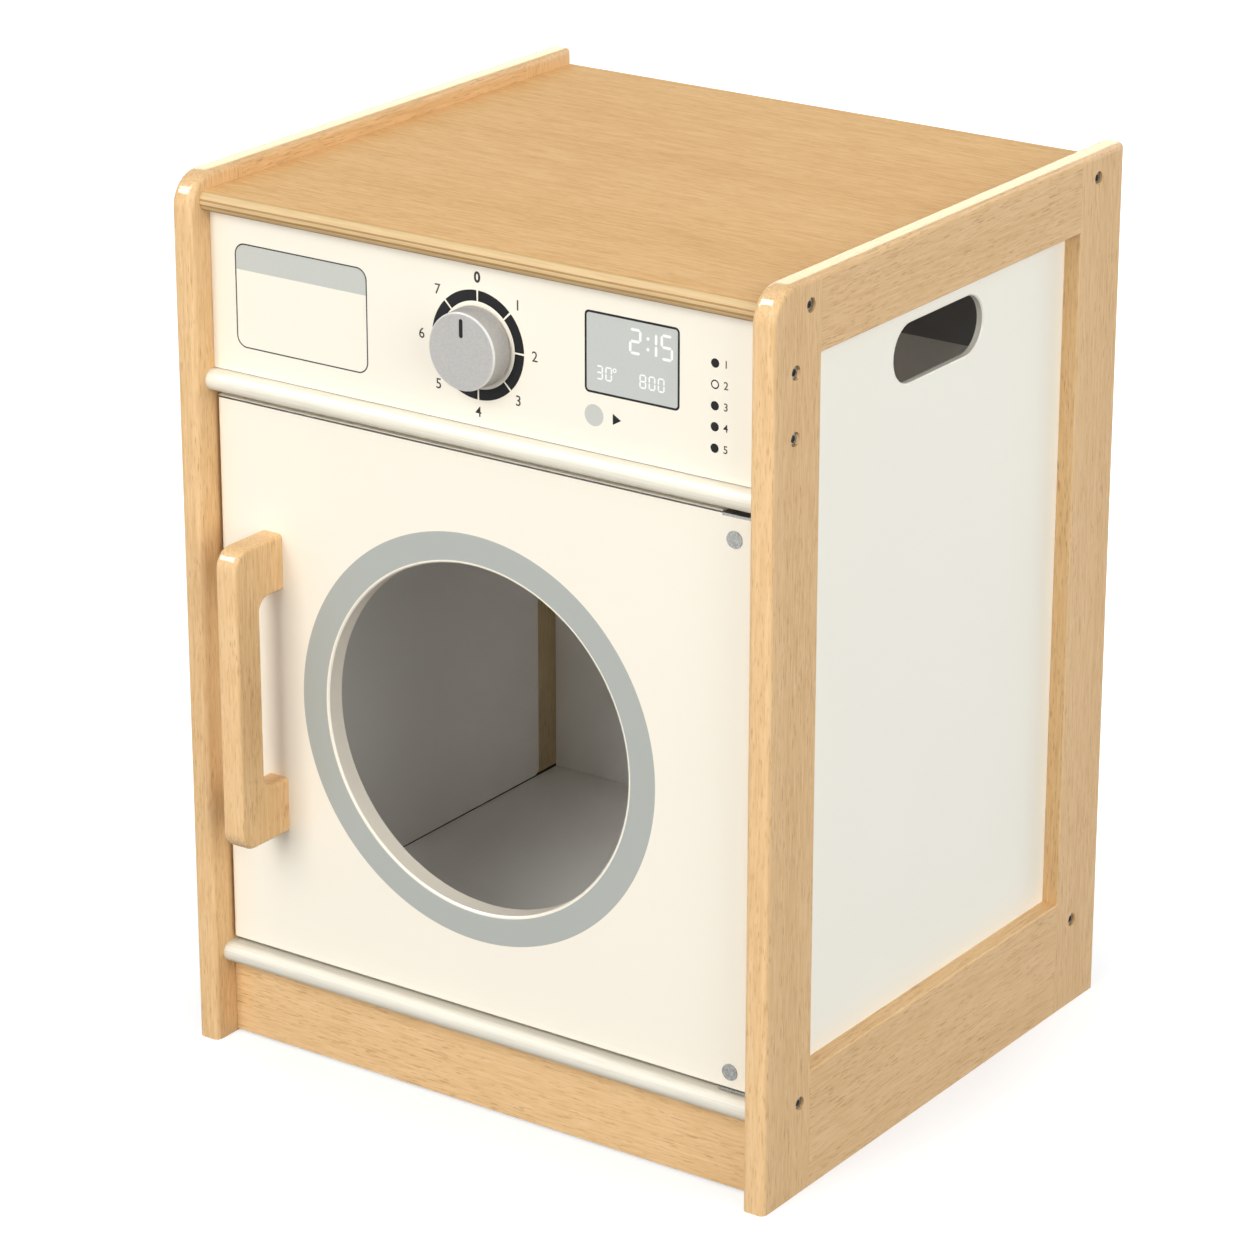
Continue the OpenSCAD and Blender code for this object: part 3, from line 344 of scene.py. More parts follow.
# Plywood top: each layer has the share of the height where it starts, from the lower face up
plywood = {
    "layers": [
        (0.0, screenColour(160, 127, 88)),
        (0.10, screenColour(206, 180, 141)),
        (0.30, screenColour(168, 136, 96)),
        (0.41, screenColour(208, 183, 145)),
        (0.57, screenColour(172, 141, 101)),
        (0.66, screenColour(212, 187, 149)),
        (0.93, screenColour(200, 167, 122)),
    ],
    "waver": {"period": (0.05, 0.02, 0.02), "detail": 2.0, "roughness": 0.5, "offset": 2.2},
    "waverHeight": 0.06,
    "fibres": {"period": (0.03, 0.004, 0.0007), "detail": 3.0, "roughness": 0.6, "offset": 4.4},
    "fibreTones": [(0.35, screenColour(190, 146, 94)), (0.65, screenColour(255, 232, 188))],
    "fibreShare": 0.35,
    "faceTones": [(0.36, screenColour(229, 178, 117)), (0.5, screenColour(239, 191, 130)),
                  (0.64, screenColour(245, 202, 143))],
    "bands": {"period": (0.5, 0.03, 0.03), "detail": 1.0, "roughness": 0.5, "offset": 3.3},
    "streaks": {"period": (0.022, 0.0018, 0.0018), "detail": 4.0, "roughness": 0.6, "offset": 8.1},
    "streakShare": 0.8,
    "pores": {"period": (0.009, 0.001, 0.001), "detail": 1.0, "roughness": 0.5, "offset": 6.1},
    "poreLimits": (0.55, 0.75),
    "poreColour": screenColour(178, 130, 78),
    "poreShare": 0.3,
    "faceFrom": (0.97, 0.99),
    "roughness": 0.65,
    "specular": 0.05,
    "bump": 0.2,
}


def plywoodMaterial(name):
    # The height within the board picks the layer, so the round nose shows every layer as a band.
    # The topmost part is the face, with bands, streaks and pores along its own grain.
    material, tree, shader, place = newMaterial(name, {
        "Specular IOR Level": plywood["specular"], "Roughness": plywood["roughness"]})

    def noiseOf(key):
        return stretchedNoise(tree, place, **plywood[key])

    share = mapRange(tree, axesOf(tree, place)["Z"], topLow.z, topHigh.z)
    lift = product(tree, calculate(tree, "SUBTRACT", noiseOf("waver"), 0.5), plywood["waverHeight"])
    layers = colourRamp(tree, calculate(tree, "ADD", share, lift), plywood["layers"], "CONSTANT")
    fibres = colourRamp(tree, noiseOf("fibres"), plywood["fibreTones"])
    layers = mixColours(tree, plywood["fibreShare"], layers, fibres, "SOFT_LIGHT")
    streaks = noiseOf("streaks")
    tone = toneOf(tree, streaks, noiseOf("bands"), plywood["streakShare"])
    pores = mapRange(tree, noiseOf("pores"), *plywood["poreLimits"], 0.0, plywood["poreShare"])
    face = colourRamp(tree, tone, plywood["faceTones"])
    face = mixColours(tree, pores, face, plywood["poreColour"])
    onFace = mapRange(tree, share, *plywood["faceFrom"])
    addColour(tree, shader, mixColours(tree, onFace, layers, face))
    addBump(tree, shader, streaks, plywood["bump"])
    return material


# Sprayed paint; a shade is the share of the colour that the darkest places keep, and the spread is
# how far the roughness goes to either side
paint = {
    "drift": {"period": (0.12, 0.12, 0.12), "detail": 2.0, "roughness": 0.5, "offset": 1.7},
    "driftShade": 0.96,
    "grain": {"period": (0.05, 0.0009, 0.0009), "detail": 3.0, "roughness": 0.6, "offset": 2.9},
    "grainLimits": (0.42, 0.7),
    "grainShade": 0.55,
    "ripple": {"period": (0.0022, 0.0022, 0.0022), "detail": 3.0, "roughness": 0.5, "offset": 0.4},
    "spread": 0.05,
    "coatRoughness": 0.3,
    "bump": 0.12,
}


def paintMaterial(name, colour, roughness=0.38, edgeGrain=0.0, coat=0.15, shadeLines=()):
    # A slow drift of tone and a fine ripple, and where wanted the lines of the wood below it and
    # dark lines of painted shade, each within half its width of its height and within its depth of
    # the front.
    material, tree, shader, place = newMaterial(name, {
        "Coat Weight": coat, "Coat Roughness": paint["coatRoughness"]})
    axes = axesOf(tree, place)
    drift = stretchedNoise(tree, place, **paint["drift"])
    tone = mixColours(tree, drift, colour, darkened(colour, paint["driftShade"]))
    if edgeGrain:
        lines = stretchedNoise(tree, place, **paint["grain"])
        share = mapRange(tree, lines, *paint["grainLimits"], 0.0, edgeGrain)
        tone = mixColours(tree, share, tone, darkened(colour, paint["grainShade"]))
    # Each line is painted shade, as in a joint or a gap
    for shadeLine in shadeLines:
        near = calculate(tree, "COMPARE", axes["Z"], shadeLine["height"], shadeLine["width"] / 2)
        ahead = below(tree, axes["Y"], shadeLine["front"] + shadeLine["depth"])
        tone = mixColours(tree, product(tree, near, ahead), tone, shadeLine["colour"])
    addColour(tree, shader, insideCoat(tree, axes, tone))
    ripple = stretchedNoise(tree, place, **paint["ripple"])
    addGloss(tree, shader, ripple, roughness - paint["spread"], roughness + paint["spread"])
    addBump(tree, shader, ripple, paint["bump"])
    return material


# Screen-printed ink
ink = {
    "mottle": {"period": (0.0012, 0.0012, 0.0012), "detail": 2.0, "roughness": 0.5, "offset": 0.9},
    "shade": 0.93,
    "roughness": 0.6,
    "specular": 0.12,
}


def inkMaterial(name, colour):
    # Almost even, with the slight mottle of a thin printed film.
    material, tree, shader, place = newMaterial(name, {
        "Roughness": ink["roughness"], "Specular IOR Level": ink["specular"]})
    mottle = stretchedNoise(tree, place, **ink["mottle"])
    addColour(tree, shader, mixColours(tree, mottle, colour, darkened(colour, ink["shade"])))
    return material


# Moulded plastic
plastic = {
    "grain": {"period": (0.0015, 0.0015, 0.0015), "detail": 3.0, "roughness": 0.7, "offset": 0.2},
    "limits": (0.3, 0.7),
    "shade": 0.84,
    "roughness": (0.34, 0.46),
    "coat": 0.1,
    "coatRoughness": 0.3,
    "bump": 0.15,
}


def wornRim(tree, place, tone, rim):
    # A painted highlight: a paler ring where the distance from the axis nears the radius, close to
    # the front alone.
    arm = calculateVector(tree, "SUBTRACT", place, (rim["x"], 0, rim["z"]))
    flat = calculateVector(tree, "MULTIPLY", arm, (1, 0, 1))
    radius = calculateVector(tree, "LENGTH", flat)
    outer = mapRange(tree, radius, rim["radius"] - rim["width"], rim["radius"])
    front = below(tree, axesOf(tree, place)["Y"], rim["front"] + rim["depth"])
    return mixColours(tree, product(tree, outer, front), tone, rim["colour"])


def plasticMaterial(name, colour, rim=None):
    # A fine spark-eroded grain in the colour, surface and gloss, and where wanted a painted
    # highlight on the rim.
    material, tree, shader, place = newMaterial(name, {
        "Coat Weight": plastic["coat"], "Coat Roughness": plastic["coatRoughness"]})
    grain = stretchedNoise(tree, place, **plastic["grain"])
    sharp = mapRange(tree, grain, *plastic["limits"])
    tone = mixColours(tree, sharp, colour, darkened(colour, plastic["shade"]))
    # A painted highlight on the knob's rim
    if rim:
        tone = wornRim(tree, place, tone, rim)
    addColour(tree, shader, tone)
    addGloss(tree, shader, grain, *plastic["roughness"])
    addBump(tree, shader, grain, plastic["bump"])
    return material


# Zinc-plated steel; smoother and rougher say how far its roughness goes to either side
plating = {
    "clouds": {"period": (0.0012, 0.0012, 0.0012), "detail": 3.0, "roughness": 0.6, "offset": 2.6},
    "limits": (0.35, 0.65),
    "shade": 0.58,
    "smoother": 0.08,
    "rougher": 0.12,
    "bump": 0.2,
}


def steelMaterial(name, colour, roughness=0.35):
    # Cloudy patches of plating over a bright metal.
    material, tree, shader, place = newMaterial(name, {"Metallic": 1.0})
    clouds = stretchedNoise(tree, place, **plating["clouds"])
    patches = mapRange(tree, clouds, *plating["limits"])
    addColour(tree, shader, mixColours(tree, patches, colour, darkened(colour, plating["shade"])))
    addGloss(tree, shader, clouds, roughness - plating["smoother"], roughness + plating["rougher"])
    addBump(tree, shader, clouds, plating["bump"])
    return material


# Painted shade lines in the paint, in metres: along the joint under the fascia, and at the door's
# head and foot for the gaps there; and the painted highlight on the rim of the knob
boardJointShade = {"height": fasciaLow.z, "width": 0.0009, "front": fasciaFace, "depth": 0.002,
              "colour": screenColour(122, 120, 113)}
doorHeadShade = {"height": doorHigh.z, "width": 0.0028, "front": doorFace, "depth": 0.0004,
            "colour": screenColour(52, 48, 42)}
doorFootShade = {"height": doorLow.z, "width": 0.0018, "front": doorFace, "depth": 0.0004,
            "colour": screenColour(78, 74, 66)}
knobRimHighlight = {"x": dialX, "z": dialZ, "front": knobLow.y, "depth": 0.0012, "radius": 0.0224,
           "width": 0.0010, "colour": screenColour(228, 226, 222)}

uprightWood = beechMaterial("beech_upright", "Z")
railWood = beechMaterial("beech_rail", "Y")
acrossWood = beechMaterial("beech_across", "X")
topWood = plywoodMaterial("plywood_top")
doorPaint = paintMaterial("door_paint", screenColour(246, 238, 221), shadeLines=(doorHeadShade, doorFootShade))
fasciaPaint = paintMaterial("fascia_paint", screenColour(246, 238, 221), shadeLines=(boardJointShade,))
shelfPaint = paintMaterial("shelf_paint", screenColour(239, 232, 214), roughness=0.5,
                           edgeGrain=0.3, coat=0.05)
# A darker copy of the board paint: painted shade on the lower shelf's nose
floorPaint = paintMaterial("floor_board_paint", screenColour(226, 220, 204), roughness=0.6,
                           edgeGrain=0.3, coat=0.0)
panelPaint = paintMaterial("panel_paint", screenColour(254, 251, 237))
ringPaint = paintMaterial("ring_paint", screenColour(171, 174, 167))
knobPlastic = plasticMaterial("knob_plastic", screenColour(187, 184, 179), rim=knobRimHighlight)
nylon = plasticMaterial("nylon", screenColour(236, 236, 228))
steel = steelMaterial("zinc_steel", screenColour(164, 164, 161))
magnetBlack = steelMaterial("magnet", screenColour(70, 70, 72), roughness=0.5)
blackInk = inkMaterial("black_ink", screenColour(34, 33, 34))
greyInk = inkMaterial("grey_ink", screenColour(202, 203, 195))
screenInk = inkMaterial("screen_ink", screenColour(200, 202, 196))
lineInk = inkMaterial("line_ink", screenColour(66, 66, 62))
whiteInk = inkMaterial("white_ink", screenColour(252, 252, 250))
labelInk = inkMaterial("label_ink", screenColour(62, 60, 57))
print("materials made")

# The nodes that have each finish
finishes = {
    uprightWood: ["left_front_stile", "left_back_stile", "right_front_stile", "right_back_stile",
                  "frame_dowels", "door_handle", "fascia_dowels", "plinth_dowels"],
    railWood: ["left_top_rail", "left_bottom_rail", "right_top_rail", "right_bottom_rail"],
    acrossWood: ["plinth"],
    topWood: ["top_board"],
    doorPaint: ["door_panel"],
    fasciaPaint: ["fascia"],
    shelfPaint: ["fascia_shelf"],
    floorPaint: ["lower_shelf"],
    panelPaint: ["left_side_panel", "right_side_panel", "back_panel"],
    knobPlastic: ["dial_knob"],
    nylon: ["hinge_bushes", "dial_bush", "click_wheel", "catch_body"],
    steel: ["frame_bolts", "barrel_nuts", "click_spring", "spring_screw", "catch_screws",
            "handle_screws", "upper_hinge_bracket", "lower_hinge_bracket", "hinge_pins",
            "hinge_bolts", "hinge_nuts", "strike_plate", "strike_screw", "dial_spindle",
            "spindle_washer", "spindle_nut"],
    magnetBlack: ["catch_magnet"],
}


def finishNodes(table):
    # Each node's object takes the material itself, so the mesh that it came with isn't changed.
    for material, names in table.items():
        for name in names:
            for slot in nodes[name].material_slots:
                slot.link = "OBJECT"
                slot.material = material


finishNodes(finishes)

# Boards whose sharp edges are eased, so that the joints between them show as fine lines: the width
# of each board's easing, in metres, and its finish
eased = {
    "fascia": (0.0006, fasciaPaint),
    "fascia_shelf": (0.0005, shelfPaint),
    "lower_shelf": (0.0004, floorPaint),
    "plinth": (0.0005, acrossWood),
    "left_top_rail": (0.0003, railWood),
    "right_top_rail": (0.0003, railWood),
    "left_bottom_rail": (0.0003, railWood),
    "right_bottom_rail": (0.0003, railWood),
    "left_front_stile": (0.0003, uprightWood),
    "right_front_stile": (0.0003, uprightWood),
    "left_back_stile": (0.0003, uprightWood),
    "right_back_stile": (0.0003, uprightWood),
}
# Limits of the easing, in metres and degrees: when points are one, when faces are one, which edges
# are long and sharp enough, and up to which angle shading is smooth
easing = {"weld": 1e-6, "flat": 0.5, "shortest": 0.008, "sharpFrom": 40, "smoothTo": 30,
          "segments": 2, "flatWeight": 100}


def easedMesh(name, width):
    # The board's loose triangles are joined, and its long sharp outward edges get a narrow round.
    shape = bmesh.new()
    shape.from_mesh(nodes[name].data)
    bmesh.ops.remove_doubles(shape, verts=shape.verts, dist=easing["weld"])
    bmesh.ops.dissolve_limit(shape, angle_limit=math.radians(easing["flat"]), verts=shape.verts,
                             edges=shape.edges)
    sharp = [edge for edge in shape.edges
             if edge.is_manifold and edge.is_convex and edge.calc_length() > easing["shortest"]
             and edge.calc_face_angle() > math.radians(easing["sharpFrom"])]
    bmesh.ops.bevel(shape, geom=sharp, offset=width, offset_type="OFFSET", profile=0.5,
                    segments=easing["segments"], affect="EDGES", clamp_overlap=False)
    mesh = bpy.data.meshes.new(name + "_eased")
    shape.to_mesh(mesh)
    shape.free()
    mesh.shade_smooth()
    mesh.set_sharp_from_angle(angle=math.radians(easing["smoothTo"]))
    return mesh


def makeEased(table):
    # An eased copy of each board takes its place, and large flat faces set the shading.
    for name, (width, material) in table.items():
        mesh = easedMesh(name, width)
        mesh.materials.append(material)
        piece = bpy.data.objects.new(name + "_eased", mesh)
        scene.collection.objects.link(piece)
        flat = piece.modifiers.new("flat faces stay flat", "WEIGHTED_NORMAL")
        flat.keep_sharp = True
        flat.weight = easing["flatWeight"]
        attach(piece, "cabinet")
        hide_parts(name)


makeEased(eased)
print("boards eased")

# Ink: how far one film of it stands off its board, and how far it reaches in, in metres
film = 0.00006
sunk = 0.0002


def meshPiece(name, solid, material, body="cabinet"):
    # A closed mesh of points and faces whose object stays at the origin, riding on one body.
    points, faces = solid
    mesh = bpy.data.meshes.new(name)
    mesh.from_pydata(points.tolist(), [], faces)
    mesh.validate()
    mesh.materials.append(material)
    piece = bpy.data.objects.new(name, mesh)
    scene.collection.objects.link(piece)
    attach(piece, body)


def printDepths(face, films=1.0):
    # Front and back of a print on a face: its films of ink before the face, and a little behind.
    return face - film * films, face + sunk


def standing(outline, depth):
    # The outline's two columns as X and Z, with the depth as Y between them.
    return np.column_stack([outline[:, 0], np.full(len(outline), depth), outline[:, 1]])


def ringSolid(outer, inner, front, back):
    # A closed flat ring: quads join four loops in turn, the outer and inner ones at the front and
    # then the inner and outer ones at the back.
    loops = [(outer, front), (inner, front), (inner, back), (outer, back)]
    count = len(outer)
    index = np.arange(count)
    following = (index + 1) % count
    faces = []
    for loop in range(4):
        a, b = loop * count, (loop + 1) % 4 * count
        faces += np.column_stack([a + index, b + index, b + following, a + following]).tolist()
    return np.vstack([standing(outline, depth) for outline, depth in loops]), faces


def flatSolid(outlines, front, back):
    # Closed plates, each with one filled outline that runs anticlockwise seen from the front, the
    # same one at the back, and quads between them.
    points, faces, start = [], [], 0
    for outline in outlines:
        count = len(outline)
        points += [standing(outline, front), standing(outline, back)]
        index = np.arange(count)
        following = (index + 1) % count
        faces.append((start + index).tolist())
        faces.append((start + count + index[::-1]).tolist())
        faces += np.column_stack([start + index, start + count + index,
                                  start + count + following, start + following]).tolist()
        start += 2 * count
    return np.vstack(points), faces


def arcPoints(x, z, radius, angles):
    # The middle plus the radius times the cosine and the sine of each angle.
    return np.column_stack([x + radius * np.cos(angles), z + radius * np.sin(angles)])


def circlePoints(x, z, radius, count):
    # A whole circle of evenly spaced points, anticlockwise from the right.
    return arcPoints(x, z, radius, np.linspace(0, 2 * math.pi, count, endpoint=False))


def roundedRectangle(low, high, radius, inset=0.0, steps=12):
    # Four quarter circles joined by straight sides, drawn in from the edge by the inset.
    turn = max(radius - inset, 1e-5)
    left, right = low[0] + inset + turn, high[0] - inset - turn
    foot, head = low[1] + inset + turn, high[1] - inset - turn
    quarter = np.linspace(0, math.pi / 2, steps)
    middles = [(right, head), (left, head), (left, foot), (right, foot)]
    return np.vstack([arcPoints(x, z, turn, quarter + index * math.pi / 2)
                      for index, (x, z) in enumerate(middles)])


def sectorOutline(x, z, inner, outer, first, last, steps=14):
    # A piece of a flat ring: along the outer arc from one angle to another, and back by the inner.
    angles = np.linspace(first, last, steps)
    return np.vstack([arcPoints(x, z, outer, angles), arcPoints(x, z, inner, angles[::-1])])


def frameSolid(settings):
    # A line round a rectangle: the rounded rectangle, and the same one drawn in by the line.
    low, high, radius = settings["low"], settings["high"], settings["radius"]
    outer = roundedRectangle(low, high, radius)
    inner = roundedRectangle(low, high, radius, settings["line"])
    return ringSolid(outer, inner, *printDepths(fasciaFace))


# Grey ring painted round the window
ring = {"x": -0.005, "rise": 0.1725, "inner": 0.1077, "outer": 0.1245, "count": 192}


def makeRing(settings):
    # Two circles about one middle, which is a rise above the compartment's floor.
    outer, inner = (circlePoints(settings["x"], floorTop + settings["rise"], settings[edge],
                                 settings["count"]) for edge in ("outer", "inner"))
    solid = ringSolid(outer, inner, *printDepths(doorFace))
    meshPiece("window_ring_print", solid, ringPaint, "door")


makeRing(ring)


def makeWords(name, labels, capitalShare=0.7):
    # Plain numbers: each is set as text, made a mesh and stood up at its place. A figure's height
    # is a share of its font's size, and the extrusion only parts its front from its back.
    front, back = printDepths(fasciaFace)
    vertices, faces, start = [], [], 0
    for words, x, z, height, align, weight in labels:
        data = bpy.data.curves.new(name + "_text", "FONT")
        data.body = words
        data.size = height / capitalShare
        data.offset = weight
        data.align_x = align
        data.align_y = "CENTER"
        data.extrude = 1.0
        data.resolution_u = 4
        text = bpy.data.objects.new(name + "_text", data)
        scene.collection.objects.link(text)
        bpy.context.view_layer.update()
        graph = bpy.context.evaluated_depsgraph_get()
        shape = bpy.data.meshes.new_from_object(text.evaluated_get(graph))
        bpy.data.objects.remove(text)
        points = np.zeros(len(shape.vertices) * 3)
        shape.vertices.foreach_get("co", points)
        points = points.reshape(-1, 3)
        depth = np.where(points[:, 2] > 0, front, back)
        vertices.append(np.column_stack([points[:, 0] + x, depth, points[:, 1] + z]))
        faces += [[start + corner for corner in face.vertices] for face in shape.polygons]
        start += len(points)
        bpy.data.meshes.remove(shape)
    meshPiece(name, (np.vstack(vertices), faces), labelInk)


# Black scale round the dial, with a gap and a number at each click; the top number is bolder
scale = {
    "inner": 0.0253,
    "outer": 0.0316,
    "gap": 0.0011,
    "clicks": 8,
    "numberRadius": 0.0388,
    "numberHeight": 0.006,
    "numberWeight": 0.00003,
    "topWeight": 0.0003,
}


def makeScale(settings):
    # One sector from each click to the next, less half a gap at both ends, anticlockwise from the
    # top. The numbers count clockwise from nought at the top.
    clicks, radius = settings["clicks"], settings["numberRadius"]
    top, step = math.pi / 2, 2 * math.pi / clicks
    half = settings["gap"] / (settings["inner"] + settings["outer"])
    outlines = [sectorOutline(dialX, dialZ, settings["inner"], settings["outer"],
                              top + click * step + half, top + (click + 1) * step - half)
                for click in range(clicks)]
    meshPiece("dial_scale_print", flatSolid(outlines, *printDepths(fasciaFace)), blackInk)
    labels = [(str(click), dialX + radius * math.cos(top - click * step),
               dialZ + radius * math.sin(top - click * step), settings["numberHeight"], "CENTER",
               settings["numberWeight"] if click else settings["topWeight"])
              for click in range(clicks)]
    makeWords("dial_numbers", labels)


makeScale(scale)

# Detergent drawer, printed as a rounded outline with a grey band from a height to its top
drawer = {"low": (-0.172, 0.4395), "high": (-0.077, 0.5017), "radius": 0.0072, "line": 0.0008,
          "band": 0.4859}


def makeDrawer(settings):
    # The outline, and that part of it that lies above the band's foot, closed by two corners.
    meshPiece("drawer_outline_print", frameSolid(settings), lineInk)
    low, high, half = settings["low"], settings["high"], settings["line"] / 2
    foot = settings["band"]
    shape = roundedRectangle(low, high, settings["radius"], half)
    corners = [(low[0] + half, foot), (high[0] - half, foot)]
    band = np.vstack([shape[shape[:, 1] > foot], corners])
    meshPiece("drawer_band_print", flatSolid([band], *printDepths(fasciaFace, 0.5)), greyInk)


makeDrawer(drawer)

# Display: a grey screen in a dark line, with white figures of seven bars, each at its lower left
# corner, and a size of width, height and thickness; two dots and a degree ring go with them
display = {
    "low": (0.0724, 0.4580), "high": (0.1348, 0.5048), "radius": 0.003, "line": 0.0013,
    "largeSize": (0.0066, 0.0132, 0.0016),
    "large": [("2", 0.1025, 0.4855), ("1", 0.1128, 0.4855), ("5", 0.1231, 0.4855)],
    "smallSize": (0.0036, 0.0072, 0.0009),
    "small": [("3", 0.0805, 0.4668), ("0", 0.0865, 0.4668), ("8", 0.1090, 0.4668),
              ("0", 0.1150, 0.4668), ("0", 0.1210, 0.4668)],
    "dotX": 0.1141, "dotZ": 0.4921, "dotApart": 0.0030, "dotRadius": 0.0010, "dotCount": 16,
    "degreeX": 0.0922, "degreeZ": 0.4732, "degreeRadii": (0.0013, 0.0007), "degreeCount": 24,
}
barsOf = {"0": "abcdef", "1": "bc", "2": "abged", "3": "abgcd", "5": "afgcd", "8": "abcdefg"}


def barOutlines(figure, x, z, width, height, thick, gapShare=0.12):
    # Each bar is a six-sided slug from one corner of the figure to another, less a gap at both
    # ends; a is the top one and the rest follow clockwise, with g across the middle.
    half, gap = thick / 2, thick * gapShare
    right, middle, top = x + width, z + height / 2, z + height
    spans = {
        "a": ((x, top), (right, top)), "b": ((right, middle), (right, top)),
        "c": ((right, z), (right, middle)), "d": ((x, z), (right, z)),
        "e": ((x, z), (x, middle)), "f": ((x, middle), (x, top)),
        "g": ((x, middle), (right, middle)),
    }
    outlines = []
    for bar in barsOf[figure]:
        first, last = (np.array(point) for point in spans[bar])
        along = (last - first) / np.linalg.norm(last - first)
        across = np.array([-along[1], along[0]]) * half
        first, last = first + along * gap, last - along * gap
        inFirst, inLast = first + along * half, last - along * half
        outlines.append(np.array([first, inFirst - across, inLast - across, last,
                                  inLast + across, inFirst + across]))
    return outlines


def makeDisplay(settings):
    # The outline and the screen, and on the screen all the figures, the dots and the degree ring.
    meshPiece("display_outline_print", frameSolid(settings), blackInk)
    screen = roundedRectangle(settings["low"], settings["high"], settings["radius"],
                              settings["line"] / 2)
    meshPiece("display_screen_print", flatSolid([screen], *printDepths(fasciaFace, 0.5)), screenInk)
    outlines = []
    for size in ("large", "small"):
        for figure, x, z in settings[size]:
            outlines += barOutlines(figure, x, z, *settings[size + "Size"])
    radius, count = settings["dotRadius"], settings["dotCount"]
    for side in (-1, 1):
        z = settings["dotZ"] + side * settings["dotApart"]
        outlines.append(circlePoints(settings["dotX"], z, radius, count))
    depths = printDepths(fasciaFace, 1.5)
    solid = flatSolid(outlines, *depths)
    meshPiece("display_figures_print", solid, whiteInk, "cabinet")
    outer, inner = (circlePoints(settings["degreeX"], settings["degreeZ"], radius,
                                 settings["degreeCount"]) for radius in settings["degreeRadii"])
    solid = ringSolid(outer, inner, *depths)
    meshPiece("display_degree_print", solid, whiteInk, "cabinet")


makeDisplay(display)

# Column of five lamps, of which the one that is lit is a ring, and a start disc with an arrow
lamps = {
    "x": 0.1576,
    "heights": [0.4895, 0.4776, 0.4656, 0.4538, 0.4417],
    "radius": 0.0026,
    "count": 40,
    "lit": 1,
    "ringShare": 0.72,
    "numberShift": 0.0055,
    "numberHeight": 0.0044,
    "numberWeight": 0.00005,
    "startX": 0.0785,
    "startZ": 0.4453,
    "startRadius": 0.00625,
    "startCount": 72,
    "arrowShift": 0.0125,
    "arrowHalf": 0.0032,
    "arrowLength": 0.00544,
}


def makeLamps(settings):
    # Black discs for the lamps that are out, with the arrow, then the ring of the lit lamp, the
    # grey disc, and a number to the right of each lamp.
    x, radius, count = settings["x"], settings["radius"], settings["count"]
    heights, lit = settings["heights"], settings["lit"]
    depths = printDepths(fasciaFace)
    outlines = [circlePoints(x, z, radius, count) for z in heights if z != heights[lit]]
    foot, half = settings["startX"] + settings["arrowShift"], settings["arrowHalf"]
    startZ = settings["startZ"]
    outlines.append(np.array([(foot, startZ - half), (foot + settings["arrowLength"], startZ),
                              (foot, startZ + half)]))
    meshPiece("lamp_dots_print", flatSolid(outlines, *depths), blackInk)
    outer = circlePoints(x, heights[lit], radius, count)
    inner = circlePoints(x, heights[lit], radius * settings["ringShare"], count)
    meshPiece("lamp_ring_print", ringSolid(outer, inner, *depths), blackInk)
    disc = circlePoints(settings["startX"], startZ, settings["startRadius"], settings["startCount"])
    meshPiece("start_disc_print", flatSolid([disc], *depths), greyInk)
    labels = [(str(index + 1), x + settings["numberShift"], z, settings["numberHeight"], "LEFT",
               settings["numberWeight"]) for index, z in enumerate(heights)]
    makeWords("lamp_numbers", labels)


makeLamps(lamps)

# Black inlay in the pointer slot of the knob, a little below the knob's face
pointer = {"width": 0.0025, "length": 0.0109, "end": 0.01895, "top": 0.00003, "depth": 0.00045}


def makePointer(settings):
    # A slot with round ends, straight above the knob's middle up to its end.
    half, top = settings["width"] / 2, dialZ + settings["end"]
    outline = roundedRectangle((dialX - half, top - settings["length"]), (dialX + half, top), half)
    solid = flatSolid([outline], knobLow.y + settings["top"], knobLow.y + settings["depth"])
    meshPiece("pointer_inlay", solid, blackInk, "dial")


makePointer(pointer)
print("prints made")


# Floor and sky, in metres. The floor's lift grows with the distance from the object, from near to
# far. skyFacing points to the sky's brightest side, and the zenith is at a height of one.
studio = {
    "floorSize": 24.0,
    "floorWhite": 0.5,
    "floorBounce": 0.12,
    "floorNear": 0.22,
    "floorFar": 0.46,
    "floorLift": 0.56,
    "floorLiftFar": 0.97,
    "skyFacing": (-0.1, -0.995, 0.0),
    "skyBack": 0.14,
    "skyFront": 0.68,
    "skyZenith": 0.4,
    "zenithFrom": 0.6,
    "zenithTo": 0.95,
    "tintFrom": -0.2,
    "tintBack": (0.92, 0.98, 1.06, 1.0),
    "tintFront": (0.98, 0.99, 1.0, 1.0),
}


def raysThatShowBackground(tree):
    # One for what the camera sees, straight or in a mirror or through glass, and nought for
    # diffuse light.
    path = addNode(tree, "ShaderNodeLightPath").outputs
    mirrored = calculate(tree, "MAXIMUM", path["Is Glossy Ray"], path["Is Transmission Ray"])
    return calculate(tree, "MAXIMUM", path["Is Camera Ray"], mirrored)


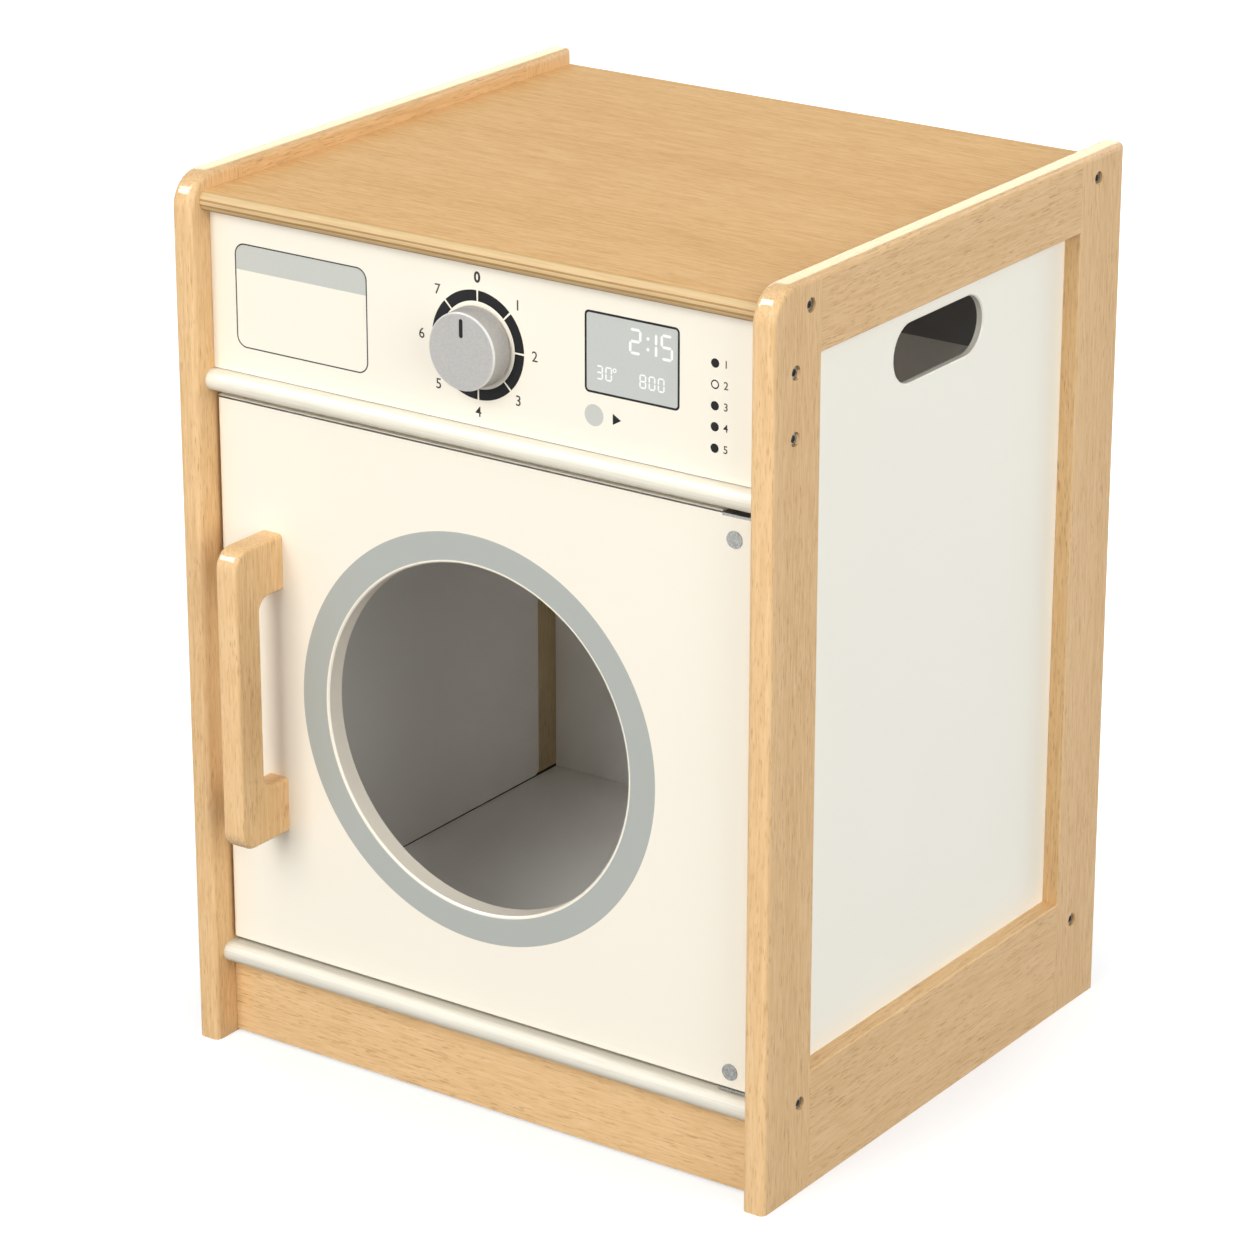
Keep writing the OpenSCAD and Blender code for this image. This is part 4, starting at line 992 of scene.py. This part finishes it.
def makeFloor(settings):
    # A large plane: white with its shadows where it is seen, and dim as a source of bounced light.
    half = settings["floorSize"] / 2
    corners = [(-half, -half, 0), (half, -half, 0), (half, half, 0), (-half, half, 0)]
    mesh = bpy.data.meshes.new("floor")
    mesh.from_pydata(corners, [], [(0, 1, 2, 3)])
    floor = bpy.data.objects.new("floor", mesh)
    scene.collection.objects.link(floor)
    material = bpy.data.materials.new("floor")
    material.use_nodes = True
    tree = material.node_tree
    tree.nodes.clear()
    white, bounce = settings["floorWhite"], settings["floorBounce"]
    seen = raysThatShowBackground(tree)
    colour = mixColours(tree, seen, (bounce, bounce, bounce, 1.0), (white, white, white, 1.0))
    plain = addNode(tree, "ShaderNodeBsdfDiffuse", {"Color": colour})
    place = addNode(tree, "ShaderNodeTexCoord").outputs["Object"]
    away = calculateVector(tree, "LENGTH", place)
    level = mapRange(tree, away, settings["floorNear"], settings["floorFar"],
                     settings["floorLift"], settings["floorLiftFar"])
    lift = addNode(tree, "ShaderNodeEmission", {"Strength": product(tree, seen, level)})
    both = addNode(tree, "ShaderNodeAddShader", {0: plain.outputs[0], 1: lift.outputs[0]})
    addNode(tree, "ShaderNodeOutputMaterial", {"Surface": both.outputs[0]})
    mesh.materials.append(material)


def makeSky(settings):
    # White wherever it is seen; as a light it grows from the back to the front, changes its tint
    # that way too, and fades towards the zenith.
    world = bpy.data.worlds.new("sky")
    scene.world = world
    world.use_nodes = True
    tree = world.node_tree
    background = tree.nodes["Background"]
    direction = addNode(tree, "ShaderNodeTexCoord").outputs["Generated"]
    facing = calculateVector(tree, "DOT_PRODUCT", direction, settings["skyFacing"])
    level = mapRange(tree, facing, -1.0, 1.0, settings["skyBack"], settings["skyFront"])
    zenith = mapRange(tree, axesOf(tree, direction)["Z"], settings["zenithFrom"],
                      settings["zenithTo"], 1.0, settings["skyZenith"])
    tintShare = mapRange(tree, facing, settings["tintFrom"], 1.0)
    tint = mixColours(tree, tintShare, settings["tintBack"], settings["tintFront"])
    seen = raysThatShowBackground(tree)
    tree.links.new(mixColours(tree, seen, tint, (1, 1, 1, 1)), background.inputs["Color"])
    strength = mixNumbers(tree, seen, product(tree, level, zenith), 1.0)
    tree.links.new(strength, background.inputs["Strength"])


# Soft boxes, in metres; the last two show in gloss alone
softBoxes = [
    {"name": "front_box", "position": (-0.65, -4.55, 2.6), "target": (0, -0.1, 0.3),
     "width": 2.7, "height": 4.3, "radiance": 5.5},
    {"name": "right_box", "position": (4.1, -1.0, 1.6), "target": (0.2, 0, 0.3),
     "width": 3.6, "height": 3.2, "radiance": 3.25},
    {"name": "back_box", "position": (0.6, 4.4, 1.7), "target": (0, 0, 0.3),
     "width": 3.2, "height": 2.8, "radiance": 2.4},
    {"name": "front_left_box", "position": (-1.78, -1.62, 2.5), "target": (0, -0.1, 0.4),
     "width": 0.7, "height": 1.7, "radiance": 38.0, "glossOnly": True},
    {"name": "back_left_box", "position": (-1.75, 2.5, 1.5), "target": (0, 0, 0.5),
     "width": 2.0, "height": 1.0, "radiance": 5.0, "glossOnly": True, "colour": (1, 0.9, 0.68)},
]


def makeSoftBox(name, position, target, width, height, radiance, glossOnly=False,
                colour=(1, 1, 1)):
    # Faces its target; its power is pi times its area times its radiance.
    data = bpy.data.lights.new(name, "AREA")
    data.shape = "RECTANGLE"
    data.size = width
    data.size_y = height
    data.energy = math.pi * width * height * radiance
    data.color = colour
    box = bpy.data.objects.new(name, data)
    box.location = position
    box.visible_diffuse = not glossOnly
    aim = Vector(target) - Vector(position)
    box.rotation_euler = aim.to_track_quat("-Z", "Y").to_euler()
    scene.collection.objects.link(box)


makeFloor(studio)
makeSky(studio)
for settings in softBoxes:
    makeSoftBox(**settings)
scene.view_settings.view_transform = "Standard"
print("studio made")
